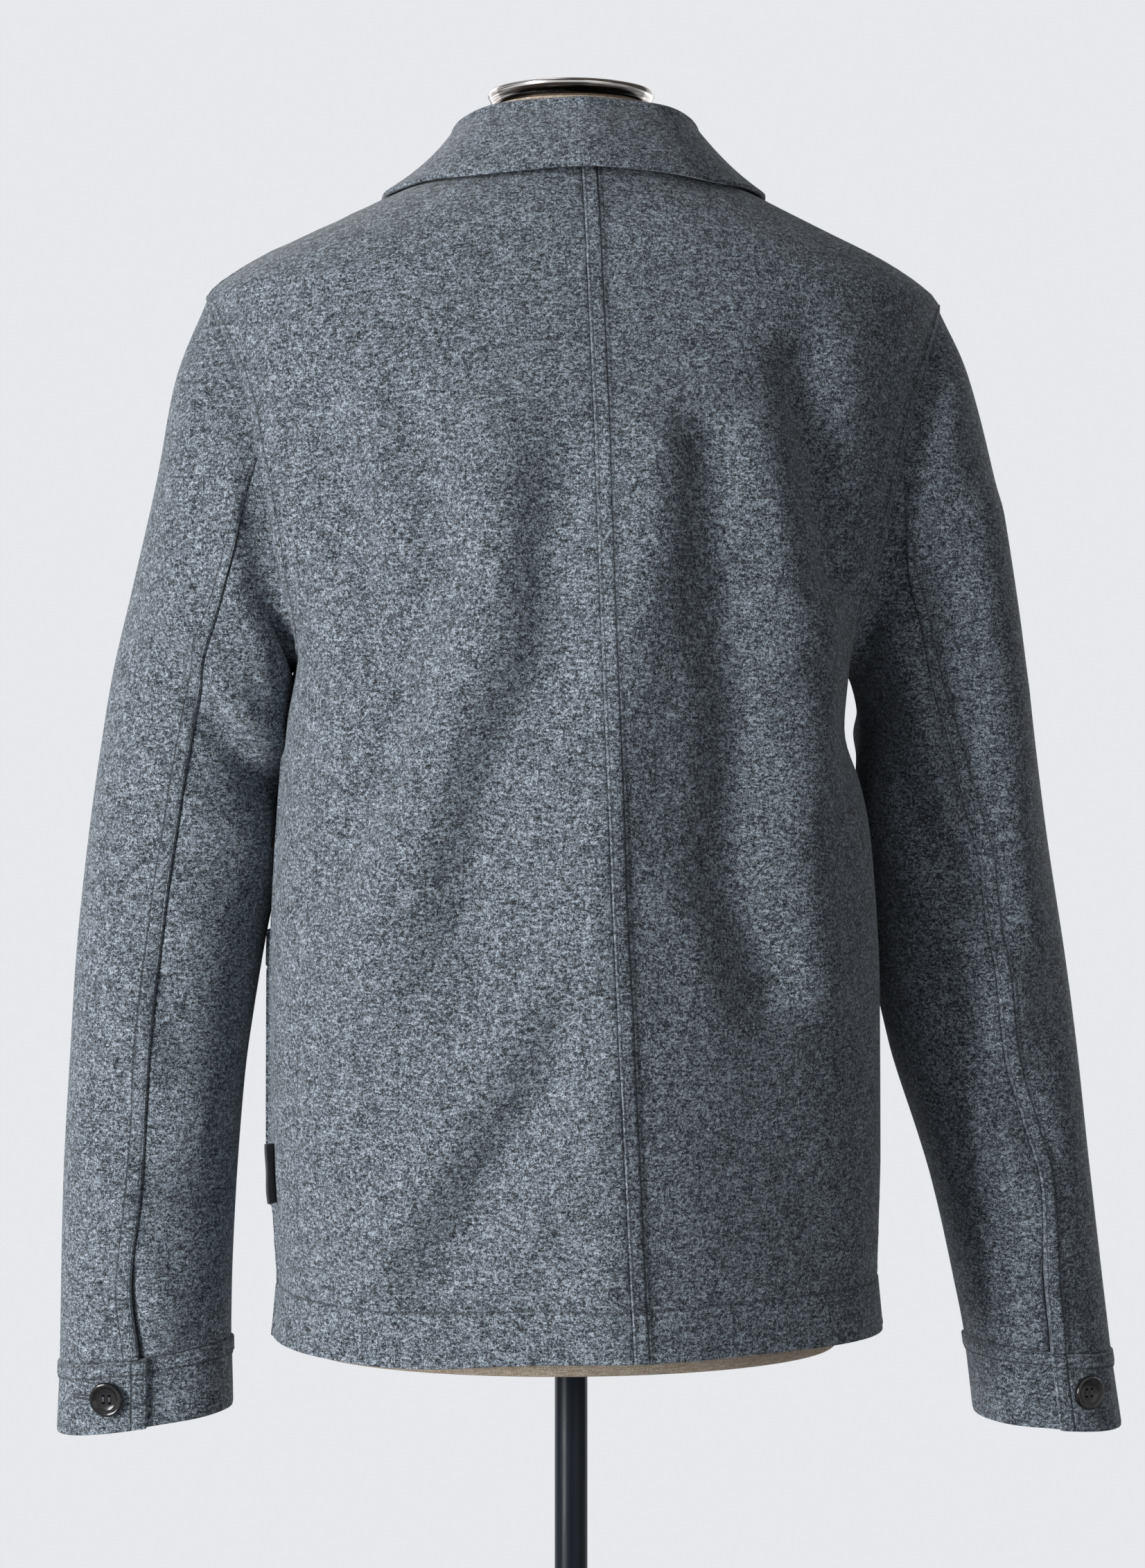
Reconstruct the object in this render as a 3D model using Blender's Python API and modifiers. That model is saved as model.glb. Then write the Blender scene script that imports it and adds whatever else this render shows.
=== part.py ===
"""Short melton coat with a turn-down collar, worn by a limbless dress form on a pole.

Metres, +Z up. The wearer faces -Y, so the back is at +Y and the wearer's left at +X.
The origin is the centre of the stand's underside. Heights in the tables below are above the hem.
"""

import math
from typing import NamedTuple

import bmesh
import bpy
import numpy as np
from mathutils import Matrix, Vector

# Driving dimensions
HEM = 0.460
CLOTH = 0.0026
COLLAR_CLOTH = 0.0030
SEAM_GAP = 0.0004
LAYER_GAP = 0.0006
UNDERARM = 0.388
UNDERARM_HOLLOW = 0.0075
SHOULDER_TIP = 0.603
NECK_SIDE = 0.684
NECK_BEND = 0.520
BACK_SEAM_LEAN = 0.0226
HEM_TILT = 0.006
HEM_TILT_REACH = 0.350
HEM_SAG = 0.0055
HEM_SAG_PLACE = 0.100
HEM_SAG_WIDTH = 0.060
HEM_SAG_REACH = 0.160
ARMHOLE_OPENING = math.radians(26.0)
FRONT_OVERLAP = 0.020
COLLAR_END = 0.006
OVERLAP_COVER = 0.024
OVERLAP_FOOT = 0.046
BUTTON_RADIUS = 0.0102
BUTTON_HEIGHT = 0.0042
BUTTON_GAP = 0.0005
FRONT_BUTTON_HEIGHTS = (0.100, 0.212, 0.324, 0.436, 0.548)
POCKET_BOTTOM = 0.066
POCKET_TOP = 0.232
POCKET_NEAR = 0.051
POCKET_TURN = math.radians(93.0)
POCKET_STAND = 0.0028
LABEL_BOTTOM = 0.0795
LABEL_HEIGHT = 0.0335
LABEL_REACH = 0.007
LABEL_TURN = math.radians(80.0)
FORM_FOOT = -0.007
POLE_RADIUS = 0.0097
BASE_RADIUS = 0.190
BASE_HEIGHT = 0.010
CAP_RADIUS = 0.0490

# Mesh resolution
BACK_COLUMNS = 12
FRONT_COLUMNS = 10
SKIRT_ROWS = 13
ARMHOLE_STEPS = 11
SHOULDER_ROWS = 6
SLEEVE_RINGS = 17
ROUND_STEPS = 16


class Table:
    """Rows of named columns, read at any place along a smooth curve through them."""

    def __init__(self, names, *rows):
        self.names = names.split()
        self.rows = np.array(rows, float)

    def column(self, name):
        return self.rows[:, self.names.index(name)]

    def at(self, name, where):
        return curve_through(self.column(self.names[0]), self.column(name), where)


class Fold(NamedTuple):
    """A soft ridge, or a trough where the rise is negative, along a path of (across, up) points."""

    width: float
    rise: float
    path: tuple


BODY = Table(
    "height half_width back front square shift middle",
    (-0.010, 0.1772, 0.1080, 0.1490, 2.45, -0.0023, 0.022),
    (0.000, 0.1767, 0.1090, 0.1500, 2.45, -0.0023, 0.022),
    (0.022, 0.1740, 0.1090, 0.1520, 2.45, -0.0023, 0.022),
    (0.060, 0.1754, 0.1120, 0.1560, 2.45, -0.0018, 0.022),
    (0.105, 0.1774, 0.1150, 0.1610, 2.45, -0.0008, 0.022),
    (0.200, 0.1770, 0.1180, 0.1650, 2.45, -0.0006, 0.022),
    (0.272, 0.1736, 0.1195, 0.1660, 2.45, 0.0000, 0.022),
    (0.320, 0.1690, 0.1210, 0.1660, 2.45, 0.0015, 0.022),
    (0.350, 0.1655, 0.1230, 0.1640, 2.45, 0.0035, 0.021),
    (0.388, 0.1670, 0.1270, 0.1600, 2.42, 0.0015, 0.018),
    (0.420, 0.1740, 0.1310, 0.1550, 2.38, -0.0005, 0.014),
    (0.450, 0.1850, 0.1350, 0.1480, 2.30, -0.0015, 0.009),
    (0.500, 0.2000, 0.1380, 0.1330, 2.25, -0.0020, 0.003),
    (0.550, 0.2105, 0.1325, 0.1150, 2.20, -0.0025, -0.002),
    (0.585, 0.2155, 0.1240, 0.1000, 2.15, -0.0025, -0.004),
    (0.603, 0.2160, 0.1180, 0.0920, 2.10, -0.0025, -0.005),
    (0.610, 0.2095, 0.1155, 0.0890, 2.10, -0.0025, -0.005),
    (0.625, 0.1870, 0.1095, 0.0840, 2.10, -0.0025, -0.005),
    (0.642, 0.1520, 0.1010, 0.0780, 2.10, -0.0025, -0.005),
    (0.659, 0.1170, 0.0910, 0.0720, 2.10, -0.0025, -0.005),
    (0.673, 0.0900, 0.0820, 0.0670, 2.10, -0.0025, -0.005),
    (0.690, 0.0780, 0.0735, 0.0620, 2.10, -0.0025, -0.005),
)

# How far the neckline lies under the side of the neck, at angles round it from the centre back.
NECKLINE = Table(
    "angle drop",
    (0, 0.0100),
    (55, 0.0000),
    (112, 0.0000),
    (128, 0.0146),
    (155, 0.0420),
    (170, 0.0727),
    (180, 0.0840),
)

BACK_FOLDS = (
    Fold(0.06, 0.006, ((-0.02, 0.48), (-0.016, 0.3), (-0.015, 0.15), (-0.018, 0.01))),
    Fold(0.024, 0.0062, ((0.054, 0.507), (0.051, 0.448), (0.057, 0.388), (0.083, 0.328), (0.121, 0.221))),
    Fold(0.018, -0.005, ((0.015, 0.489), (0.023, 0.448), (0.023, 0.388), (0.054, 0.328), (0.07, 0.236))),
    Fold(0.02, 0.0045, ((-0.036, 0.507), (-0.036, 0.448), (-0.018, 0.388), (-0.004, 0.269), (-0.008, 0.038))),
    Fold(0.018, -0.0052, ((-0.065, 0.507), (-0.065, 0.448), (-0.079, 0.358), (-0.074, 0.269), (-0.095, 0.207))),
    Fold(0.02, 0.0052, ((-0.091, 0.507), (-0.112, 0.448), (-0.121, 0.388), (-0.121, 0.269), (-0.131, 0.207))),
    Fold(0.02, -0.0062, ((0.151, 0.529), (0.142, 0.493), (0.132, 0.447), (0.121, 0.395))),
    Fold(0.018, -0.007, ((-0.124, 0.555), (-0.129, 0.493), (-0.138, 0.437))),
    Fold(0.018, -0.0048, ((0.012, 0.184), (0.024, 0.15), (0.055, 0.099), (0.089, 0.048))),
    Fold(0.02, 0.0044, ((0.034, 0.201), (0.06, 0.15), (0.089, 0.099), (0.114, 0.057))),
    Fold(0.016, 0.0032, ((0.001, 0.142), (0.024, 0.091), (0.043, 0.048))),
)

FRONT_FOLDS = (
    Fold(0.026, 0.0045, ((0.1250, 0.520), (0.1080, 0.430), (0.0950, 0.330))),
    Fold(0.022, -0.0045, ((0.0800, 0.500), (0.0620, 0.390), (0.0560, 0.300))),
    Fold(0.024, -0.0045, ((-0.0900, 0.510), (-0.0720, 0.400), (-0.0800, 0.280))),
    Fold(0.026, 0.0045, ((-0.1300, 0.500), (-0.1120, 0.400), (-0.1080, 0.320))),
)

# Each ring of a sleeve runs from its outer point, over the back, to its inner point and round the front.
SLEEVE_COLUMNS = "ring outer_x outer_h inner_x inner_h middle half_depth seam"
LEFT_SLEEVE = Table(
    SLEEVE_COLUMNS,
    (1, 0.2320, 0.5530, 0.1665, 0.3760, 0.004, 0.066, 108),
    (2, 0.2430, 0.4950, 0.1690, 0.3560, 0.001, 0.067, 92),
    (3, 0.2585, 0.4290, 0.1680, 0.3300, -0.010, 0.066, 88),
    (4, 0.2690, 0.3850, 0.1690, 0.3020, -0.016, 0.065, 88),
    (5, 0.2765, 0.3400, 0.1710, 0.2700, -0.018, 0.063, 87),
    (6, 0.2840, 0.2850, 0.1785, 0.2350, -0.018, 0.060, 87),
    (7, 0.2910, 0.2160, 0.1870, 0.1850, -0.017, 0.057, 87),
    (8, 0.2940, 0.1670, 0.1919, 0.1500, -0.017, 0.054, 87),
    (9, 0.2985, 0.0850, 0.1976, 0.0780, -0.018, 0.049, 87),
    (10, 0.3000, 0.0250, 0.2000, 0.0250, -0.020, 0.045, 83),
    (11, 0.3010, -0.0220, 0.2005, -0.0090, -0.023, 0.043, 88),
    (12, 0.3030, -0.0640, 0.1998, -0.0500, -0.026, 0.042, 90),
)
RIGHT_SLEEVE = Table(
    SLEEVE_COLUMNS,
    (1, 0.2345, 0.5600, 0.1665, 0.3780, 0.004, 0.066, 132),
    (2, 0.2505, 0.5000, 0.1690, 0.3600, 0.001, 0.067, 106),
    (3, 0.2640, 0.4290, 0.1705, 0.3400, -0.004, 0.066, 103),
    (4, 0.2715, 0.3800, 0.1715, 0.3150, -0.008, 0.065, 96),
    (5, 0.2785, 0.3350, 0.1745, 0.2850, -0.011, 0.063, 91),
    (6, 0.2865, 0.2820, 0.1790, 0.2500, -0.013, 0.060, 87),
    (7, 0.2975, 0.2150, 0.1845, 0.2050, -0.014, 0.056, 88),
    (8, 0.3042, 0.1670, 0.1935, 0.1620, -0.015, 0.054, 89),
    (9, 0.3140, 0.0830, 0.2190, 0.0830, -0.018, 0.051, 82),
    (10, 0.3220, 0.0180, 0.2340, 0.0190, -0.020, 0.050, 90),
    (11, 0.3275, -0.0220, 0.2410, -0.0140, -0.023, 0.049, 92),
    (12, 0.3350, -0.0680, 0.2475, -0.0620, -0.026, 0.048, 94),
)
CUFF_RING = 11
CUFF_ENDS = (52.0, 452.0)
CUFF_BUTTON_TURN = 428.0
FRONT_SEAM = 290

# The collar's fold and outer edge at angles round the neck from the centre back.
COLLAR = Table(
    "angle fold_x fold_y fold_h edge_x edge_y edge_h",
    (0, 0.0000, 0.0640, 0.7110, 0.0000, 0.0990, 0.6680),
    (45, 0.0490, 0.0430, 0.7100, 0.0750, 0.0700, 0.6640),
    (90, 0.0690, -0.0060, 0.7050, 0.1130, -0.0060, 0.6670),
    (128, 0.0660, -0.0520, 0.6900, 0.1150, -0.0720, 0.6380),
    (155, 0.0560, -0.0840, 0.6620, 0.0980, -0.0930, 0.6120),
    (170, 0.0330, -0.0990, 0.6370, 0.0760, -0.1100, 0.5780),
    (180, 0.0060, -0.1020, 0.6230, 0.0500, -0.1220, 0.5500),
)
COLLAR_SHIFT = -0.0030
COLLAR_ROLL = 0.0042
COLLAR_BULGE = 0.0015
COLLAR_OPENING = 0.020

# The dress form's own sections. Its shoulders carry the coat just under the shoulder seams.
FORM = Table(
    "height half_width back front shift middle",
    (-0.0070, 0.1560, 0.1120, 0.1000, 0.0000, 0.000),
    (-0.0030, 0.1600, 0.1160, 0.1040, 0.0000, 0.000),
    (0.0200, 0.1610, 0.1180, 0.1060, 0.0000, 0.000),
    (0.1000, 0.1580, 0.1170, 0.1080, 0.0000, 0.000),
    (0.2200, 0.1400, 0.1080, 0.1060, 0.0000, 0.000),
    (0.3200, 0.1440, 0.1140, 0.1100, 0.0000, 0.000),
    (0.4000, 0.1440, 0.1180, 0.1120, 0.0000, 0.000),
    (0.4800, 0.1500, 0.1160, 0.1060, 0.0000, 0.000),
    (0.5500, 0.1800, 0.1080, 0.0960, -0.0015, -0.003),
    (0.5850, 0.2010, 0.1000, 0.0840, -0.0025, -0.005),
    (0.6004, 0.2060, 0.0960, 0.0780, -0.0025, -0.005),
    (0.6138, 0.1990, 0.0920, 0.0720, -0.0025, -0.005),
    (0.6272, 0.1758, 0.0880, 0.0670, -0.0025, -0.005),
    (0.6407, 0.1473, 0.0830, 0.0620, -0.0025, -0.005),
    (0.6542, 0.1194, 0.0750, 0.0590, -0.0025, -0.005),
    (0.6679, 0.0820, 0.0640, 0.0550, -0.0015, -0.003),
    (0.6800, 0.0610, 0.0560, 0.0520, -0.0005, -0.001),
    (0.6940, 0.0525, 0.0520, 0.0510, 0.0000, 0.000),
    (0.7180, 0.0480, 0.0480, 0.0480, 0.0000, 0.000),
)


def curve_through(keys, values, where):
    """Values on a smooth curve through the keys, which never overshoots them."""
    gaps = np.diff(keys)
    slopes = np.diff(values) / gaps
    tangents = np.concatenate([slopes[:1], np.zeros(len(keys) - 2), slopes[-1:]])
    before, after = slopes[:-1], slopes[1:]
    same = before * after > 0.0
    tangents[1:-1][same] = 2.0 * before[same] * after[same] / (before[same] + after[same])
    where = np.clip(np.asarray(where, float), keys[0], keys[-1])
    index = np.clip(np.searchsorted(keys, where, side="right") - 1, 0, len(gaps) - 1)
    step = gaps[index]
    t = (where - keys[index]) / step
    rise = values[index + 1] - values[index]
    bend = (tangents[index] + tangents[index + 1]) * step - 2.0 * rise
    start = tangents[index] * step
    return values[index] + t * (start + t * (rise - start - bend + t * bend))


def smooth_step(value):
    t = np.clip(value, 0.0, 1.0)
    return t * t * (3.0 - 2.0 * t)


def unit(vectors):
    return vectors / np.linalg.norm(vectors, axis=-1, keepdims=True)


def fold_relief(folds, across, up):
    """Height of all the folds at each place, as soft ridges and troughs along their paths."""
    total = np.zeros(np.broadcast(across, up).shape)
    for fold in folds:
        nearest = np.full(total.shape, np.inf)
        for (x0, z0), (x1, z1) in zip(fold.path, fold.path[1:]):
            run, climb = x1 - x0, z1 - z0
            t = np.clip(((across - x0) * run + (up - z0) * climb) / (run**2 + climb**2), 0.0, 1.0)
            nearest = np.minimum(nearest, np.hypot(across - x0 - t * run, up - z0 - t * climb))
        total += fold.rise * np.exp(-((nearest / fold.width) ** 2))
    return total


def body_base(angle, height):
    """Points of the coat's body with no folds. The angle is 0 at the centre back, +90 degrees at +X."""
    power = 2.0 / BODY.at("square", height)
    across, along = np.sin(angle), np.cos(angle)
    depth = np.where(along >= 0.0, BODY.at("back", height), BODY.at("front", height))
    x = BODY.at("shift", height) + BODY.at("half_width", height) * np.sign(across) * np.abs(across) ** power
    y = BODY.at("middle", height) + depth * np.sign(along) * np.abs(along) ** power
    tilt = HEM_TILT * smooth_step(1.0 - height / HEM_TILT_REACH)
    sag = HEM_SAG * smooth_step(1.0 - height / HEM_SAG_REACH) * smooth_step(along / 0.5)
    sag = sag * np.exp(-(((x - HEM_SAG_PLACE) / HEM_SAG_WIDTH) ** 2))
    return np.stack(np.broadcast_arrays(x, y, HEM + height - tilt * x - sag), axis=-1)


def body_normal(angle, height):
    turn, climb = 0.02, 0.002
    round_it = body_base(angle + turn, height) - body_base(angle - turn, height)
    up = body_base(angle, height + climb) - body_base(angle, height - climb)
    return unit(np.cross(up, round_it))


def body_point(angle, height, lift=0.0):
    """Points of the cloth's outer face, moved out by the lift, and the directions out of it."""
    angle, height = np.broadcast_arrays(np.asarray(angle, float), np.asarray(height, float))
    base = body_base(angle, height)
    out = body_normal(angle, height)
    behind = np.cos(angle) >= 0.0
    relief = np.where(
        behind,
        fold_relief(BACK_FOLDS, base[..., 0], height),
        fold_relief(FRONT_FOLDS, base[..., 0], height),
    )
    from_side = np.abs(np.cos(angle))
    relief = relief * smooth_step((from_side - 0.05) / 0.30)
    hollow = np.exp(-((height - UNDERARM - 0.010) / 0.036) ** 2) * (1.0 - smooth_step(from_side / 0.60))
    relief = relief - UNDERARM_HOLLOW * hollow
    return base + out * (relief + lift)[..., None], out


def body_angle(x, height, front=False):
    """The angle at which the body's section is x to the side."""
    ratio = (x - BODY.at("shift", height)) / BODY.at("half_width", height)
    turn = np.arcsin(np.sign(ratio) * np.abs(ratio) ** (BODY.at("square", height) / 2.0))
    return math.pi - turn if front else turn


def armhole_half_angle(height):
    place = 2.0 * (height - UNDERARM) / (SHOULDER_TIP - UNDERARM) - 1.0
    return ARMHOLE_OPENING * np.sqrt(np.clip(1.0 - place**2, 0.0, 1.0))


def panel_heights():
    """Heights of the rows that the fronts and backs share: skirt, armhole and shoulder seam."""
    skirt = np.linspace(0.0, UNDERARM, SKIRT_ROWS + 1)[:-1]
    turn = np.linspace(math.pi, 0.0, ARMHOLE_STEPS + 1)
    armhole = UNDERARM + (SHOULDER_TIP - UNDERARM) * (1.0 + np.cos(turn)) / 2.0
    shoulder = np.linspace(SHOULDER_TIP, NECK_SIDE, SHOULDER_ROWS + 1)[1:]
    return np.concatenate([skirt, armhole, shoulder])


def neck_drop(angle):
    """How far the neckline lies under the side of the neck."""
    turn = np.degrees(np.abs((angle + math.pi) % (2.0 * math.pi) - math.pi))
    return NECKLINE.at("drop", turn)


def to_neckline(angle, height):
    """Lowers the upper rows so that the top one follows the neckline."""
    share = np.clip((height - NECK_BEND) / (NECK_SIDE - NECK_BEND), 0.0, 1.0)
    return height - neck_drop(angle) * share


def panel_grid(side, front, centre_lines, columns):
    """Angles and heights of a panel, from its centre edge to its side, armhole and shoulder edge.

    The centre lines give x at the panel's first columns, and the others are spread from there.
    """
    heights = panel_heights()
    lowered = to_neckline(math.pi if front else 0.0, heights)
    opening = armhole_half_angle(heights) * (1.0 if front else -1.0)
    edge = side * (math.pi / 2.0 + opening)
    angles = [body_angle(line(lowered), lowered, front) for line in centre_lines]
    if front and side < 0.0:
        angles = [angle - 2.0 * math.pi for angle in angles]
    start = angles.pop()
    share = np.linspace(0.0, 1.0, columns - len(angles) + 1)
    spread = start[:, None] + (edge - start)[:, None] * share[None, :]
    angle = np.concatenate([np.stack(angles, axis=1), spread], axis=1) if angles else spread
    return angle, to_neckline(angle, heights[:, None])


def drawn_in(grid, gap):
    """The grid with each outer row and column moved in by half of a seam's gap."""
    moved = grid.copy()
    moved[:, 0] += unit(grid[:, 1] - grid[:, 0]) * gap / 2.0
    moved[:, -1] += unit(grid[:, -2] - grid[:, -1]) * gap / 2.0
    moved[-1] += unit(grid[-2] - grid[-1]) * gap / 2.0
    return moved


def material(name, colour, roughness, metallic=0.0):
    made = bpy.data.materials.new(name)
    made.use_nodes = True
    shader = made.node_tree.nodes["Principled BSDF"]
    shader.inputs["Base Color"].default_value = (*colour, 1.0)
    shader.inputs["Roughness"].default_value = roughness
    shader.inputs["Metallic"].default_value = metallic
    return made


def add_mesh(name, points, faces, look, sharp=35.0):
    mesh = bpy.data.meshes.new(name)
    mesh.from_pydata([tuple(point) for point in points], [], faces)
    built = bmesh.new()
    built.from_mesh(mesh)
    bmesh.ops.recalc_face_normals(built, faces=built.faces)
    built.to_mesh(mesh)
    built.free()
    mesh.shade_smooth()
    mesh.set_sharp_from_angle(angle=math.radians(sharp))
    mesh.materials.append(look)
    made = bpy.data.objects.new(name, mesh)
    bpy.data.collections["short_coat"].objects.link(made)
    return made


def add_wall(name, outer, inner, look):
    """A closed wall between two grids of points, with a rim along all four edges."""
    rows, columns = outer.shape[:2]
    count = rows * columns
    points = np.concatenate([outer.reshape(-1, 3), inner.reshape(-1, 3)])

    def corner(row, column, face):
        return face * count + row * columns + column

    faces = []
    for row in range(rows - 1):
        for column in range(columns - 1):
            ring = ((row, column), (row, column + 1), (row + 1, column + 1), (row + 1, column))
            faces.append([corner(*place, 0) for place in ring])
            faces.append([corner(*place, 1) for place in reversed(ring)])
    border = [(0, column) for column in range(columns)]
    border += [(row, columns - 1) for row in range(1, rows)]
    border += [(rows - 1, column) for column in range(columns - 2, -1, -1)]
    border += [(row, 0) for row in range(rows - 2, 0, -1)]
    for here, there in zip(border, border[1:] + border[:1]):
        first, last = min(here, there), max(here, there)
        faces.append([corner(*first, 0), corner(*last, 0), corner(*last, 1)])
        faces.append([corner(*first, 0), corner(*last, 1), corner(*first, 1)])
    return add_mesh(name, points, faces, look)


def add_stack(name, rings, look):
    """A closed solid through a stack of rings, with flat ends."""
    steps = len(rings[0])
    points = np.concatenate(rings)
    faces = [list(range(steps)), [len(points) - 1 - step for step in range(steps)]]
    for level in range(len(rings) - 1):
        for step in range(steps):
            after = (step + 1) % steps
            low, high = level * steps, (level + 1) * steps
            faces.append([low + step, low + after, high + after, high + step])
    return add_mesh(name, points, faces, look)


def add_turned(name, profile, look, steps=ROUND_STEPS):
    """A turned solid about its own Z. The profile of (radius, height) runs down from the axis."""
    mesh = bpy.data.meshes.new(name)
    points = [(radius, 0.0, height) for radius, height in profile]
    mesh.from_pydata(points, [(i, i + 1) for i in range(len(points) - 1)], [])
    mesh.materials.append(look)
    made = bpy.data.objects.new(name, mesh)
    bpy.data.collections["short_coat"].objects.link(made)
    screw = made.modifiers.new("turn", "SCREW")
    screw.steps = screw.render_steps = steps
    screw.use_merge_vertices = True
    screw.merge_threshold = 0.00001
    screw.use_smooth_shade = True
    return made


def back_seam(height):
    """Side place of the centre back seam, which leans towards the wearer's right."""
    return -BACK_SEAM_LEAN * np.clip(1.0 - height / 0.67, 0.0, 1.0) ** 1.8


def make_backs(cloth):
    for name, side in (("back_left", 1.0), ("back_right", -1.0)):
        angle, height = panel_grid(side, False, [back_seam], BACK_COLUMNS)
        outer, out = body_point(angle, height)
        add_wall(name, drawn_in(outer, SEAM_GAP), drawn_in(outer - out * CLOTH, SEAM_GAP), cloth)


def front_lift(x, side):
    """The left front lies on the right one where they overlap, and comes down beside it."""
    if side < 0.0:
        return np.zeros_like(x)
    cover = 1.0 - smooth_step((x - OVERLAP_COVER) / (OVERLAP_FOOT - OVERLAP_COVER))
    return (CLOTH + LAYER_GAP) * cover


def front_grid(side, columns):
    def line(x):
        return lambda height: np.full_like(height, side * x)

    lines = [line(x) for x in (-FRONT_OVERLAP, -COLLAR_END, COLLAR_END, OVERLAP_COVER, OVERLAP_FOOT)]
    return panel_grid(side, True, lines, columns)


def front_panel(side, columns):
    angle, height = front_grid(side, columns)
    lift = front_lift(body_base(angle, height)[..., 0], side)
    return body_point(angle, height, lift)


def make_fronts(cloth):
    for name, side in (("front_left", 1.0), ("front_right", -1.0)):
        outer, out = front_panel(side, FRONT_COLUMNS)
        add_wall(name, drawn_in(outer, SEAM_GAP), drawn_in(outer - out * CLOTH, SEAM_GAP), cloth)


def sleeve_control(table, side, turn):
    """The rings that shape a sleeve, the first on the armhole, at the turns given for each ring."""
    place = UNDERARM + (SHOULDER_TIP - UNDERARM) * (1.0 + np.cos(turn[0])) / 2.0
    opening = ARMHOLE_OPENING * np.sin(turn[0])
    first, first_out = body_point(side * (math.pi / 2.0 - opening), place)
    rings = [first]
    for row, angle in zip(table.rows, turn[1:]):
        named = dict(zip(table.names, row))
        outer = np.array((side * named["outer_x"], 0.0, HEM + named["outer_h"]))
        inner = np.array((side * named["inner_x"], 0.0, HEM + named["inner_h"]))
        across, behind = np.cos(angle), np.sin(angle)
        power = 2.0 / 2.15
        reach = np.sign(across) * np.abs(across) ** power
        depth = named["middle"] + named["half_depth"] * np.sign(behind) * np.abs(behind) ** power
        ring = (outer + inner) / 2.0 + reach[:, None] * (outer - inner) / 2.0
        ring[:, 1] += depth
        rings.append(ring)
    return np.array(rings), first_out


def sleeve_turns(table, columns):
    """Turns of the columns at each control ring, so that two of them follow the two long seams."""
    back, front = columns
    seams = np.radians(np.concatenate([[75.0], table.column("seam")]))
    share = np.arange(2 * ARMHOLE_STEPS + 1)
    turns = []
    for ring, seam in enumerate(seams):
        start = np.array([0.0, back, front, share[-1]])
        armhole = start / share[-1] * 2.0 * math.pi
        target = np.array([0.0, seam, math.radians(FRONT_SEAM), 2.0 * math.pi])
        blend = min(ring / 2.0, 1.0)
        turns.append(np.interp(share, start, armhole + (target - armhole) * blend))
    return np.array(turns)


def along_rings(control, places):
    """Points on smooth curves through the control rings, column by column."""
    keys = np.arange(len(control), dtype=float)
    grid = np.empty((len(places), control.shape[1], 3))
    for column in range(control.shape[1]):
        for axis in range(3):
            grid[:, column, axis] = curve_through(keys, control[:, column, axis], places)
    return grid


def sleeve_grid(table, side, places):
    """Points of a sleeve's outer face on whole rings, and the directions out of it."""
    seam_columns = (5, 18)
    turns = sleeve_turns(table, seam_columns)
    control, first_out = sleeve_control(table, side, turns)
    outer = along_rings(control, places)
    ahead = along_rings(control, places + 0.05)
    behind = along_rings(control, places - 0.05)
    down = ahead - behind
    across = np.roll(outer[:, :-1], -1, axis=1) - np.roll(outer[:, :-1], 1, axis=1)
    across = np.concatenate([across, across[:, :1]], axis=1)
    out = unit(np.cross(down, across)) * side
    share = smooth_step(places / 1.2)[:, None, None]
    out = unit(first_out[None] * (1.0 - share) + out * share)
    return outer, out, seam_columns


def make_sleeves(cloth):
    places = CUFF_RING * np.linspace(0.0, 1.0, SLEEVE_RINGS + 1) ** 1.08
    for word, side, table in (("left", 1.0, LEFT_SLEEVE), ("right", -1.0, RIGHT_SLEEVE)):
        outer, out, (back, front) = sleeve_grid(table, side, places)
        inner = outer - out * CLOTH
        top = list(range(front, 2 * ARMHOLE_STEPS)) + list(range(back + 1))
        under = list(range(back, front + 1))
        for piece, columns in (("top", top), ("under", under)):
            faces = []
            for face in (outer, inner):
                grid = drawn_in(face[:, columns], SEAM_GAP)
                grid[0] += unit(grid[1] - grid[0]) * SEAM_GAP
                faces.append(grid)
            add_wall(f"{word}_{piece}_sleeve", *faces, cloth)


def cuff_grid(table, side):
    """A cuff from its hidden end, round the wrist, to the buttoned end that lies over it."""
    steps = 34
    turn = np.radians(np.linspace(*CUFF_ENDS, steps + 1))
    turns = np.tile(turn, (len(table.rows) + 1, 1))
    control, _ = sleeve_control(table, side, turns)
    places = np.linspace(CUFF_RING, CUFF_RING + 1, 4)
    outer = along_rings(control, places)
    outer[0] += unit(outer[1] - outer[0]) * SEAM_GAP
    down = np.gradient(outer, axis=0)
    across = np.gradient(outer, axis=1)
    out = unit(np.cross(down, across)) * side
    hidden = 1.0 - smooth_step((np.degrees(turn) - 95.0) / 40.0)
    outer = outer - out * ((CLOTH + LAYER_GAP) * hidden)[None, :, None]
    return outer, out, np.degrees(turn)


def make_cuffs(cloth, horn):
    for word, side, table in (("left", 1.0, LEFT_SLEEVE), ("right", -1.0, RIGHT_SLEEVE)):
        outer, out, degrees = cuff_grid(table, side)
        add_wall(f"{word}_cuff", outer, outer - out * CLOTH, cloth)
        column = int(np.argmin(np.abs(degrees - CUFF_BUTTON_TURN)))
        centre = (outer[1, column] + outer[2, column]) / 2.0
        place_button(f"{word}_cuff_button", centre, out[1, column], horn)


def place_button(name, centre, out, horn):
    """A button with a raised rim, its back just off the cloth."""
    r, h = BUTTON_RADIUS, BUTTON_HEIGHT
    profile = (
        (0.0, 0.52 * h),
        (0.60 * r, 0.52 * h),
        (0.74 * r, 0.98 * h),
        (0.90 * r, 0.92 * h),
        (r, 0.50 * h),
        (0.88 * r, 0.0),
        (0.0, 0.0),
    )
    made = add_turned(name, profile, horn)
    out = Vector(out).normalized()
    turn = out.to_track_quat("Z", "Y").to_matrix().to_4x4()
    made.matrix_world = Matrix.Translation(Vector(centre) + out * BUTTON_GAP) @ turn


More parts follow.
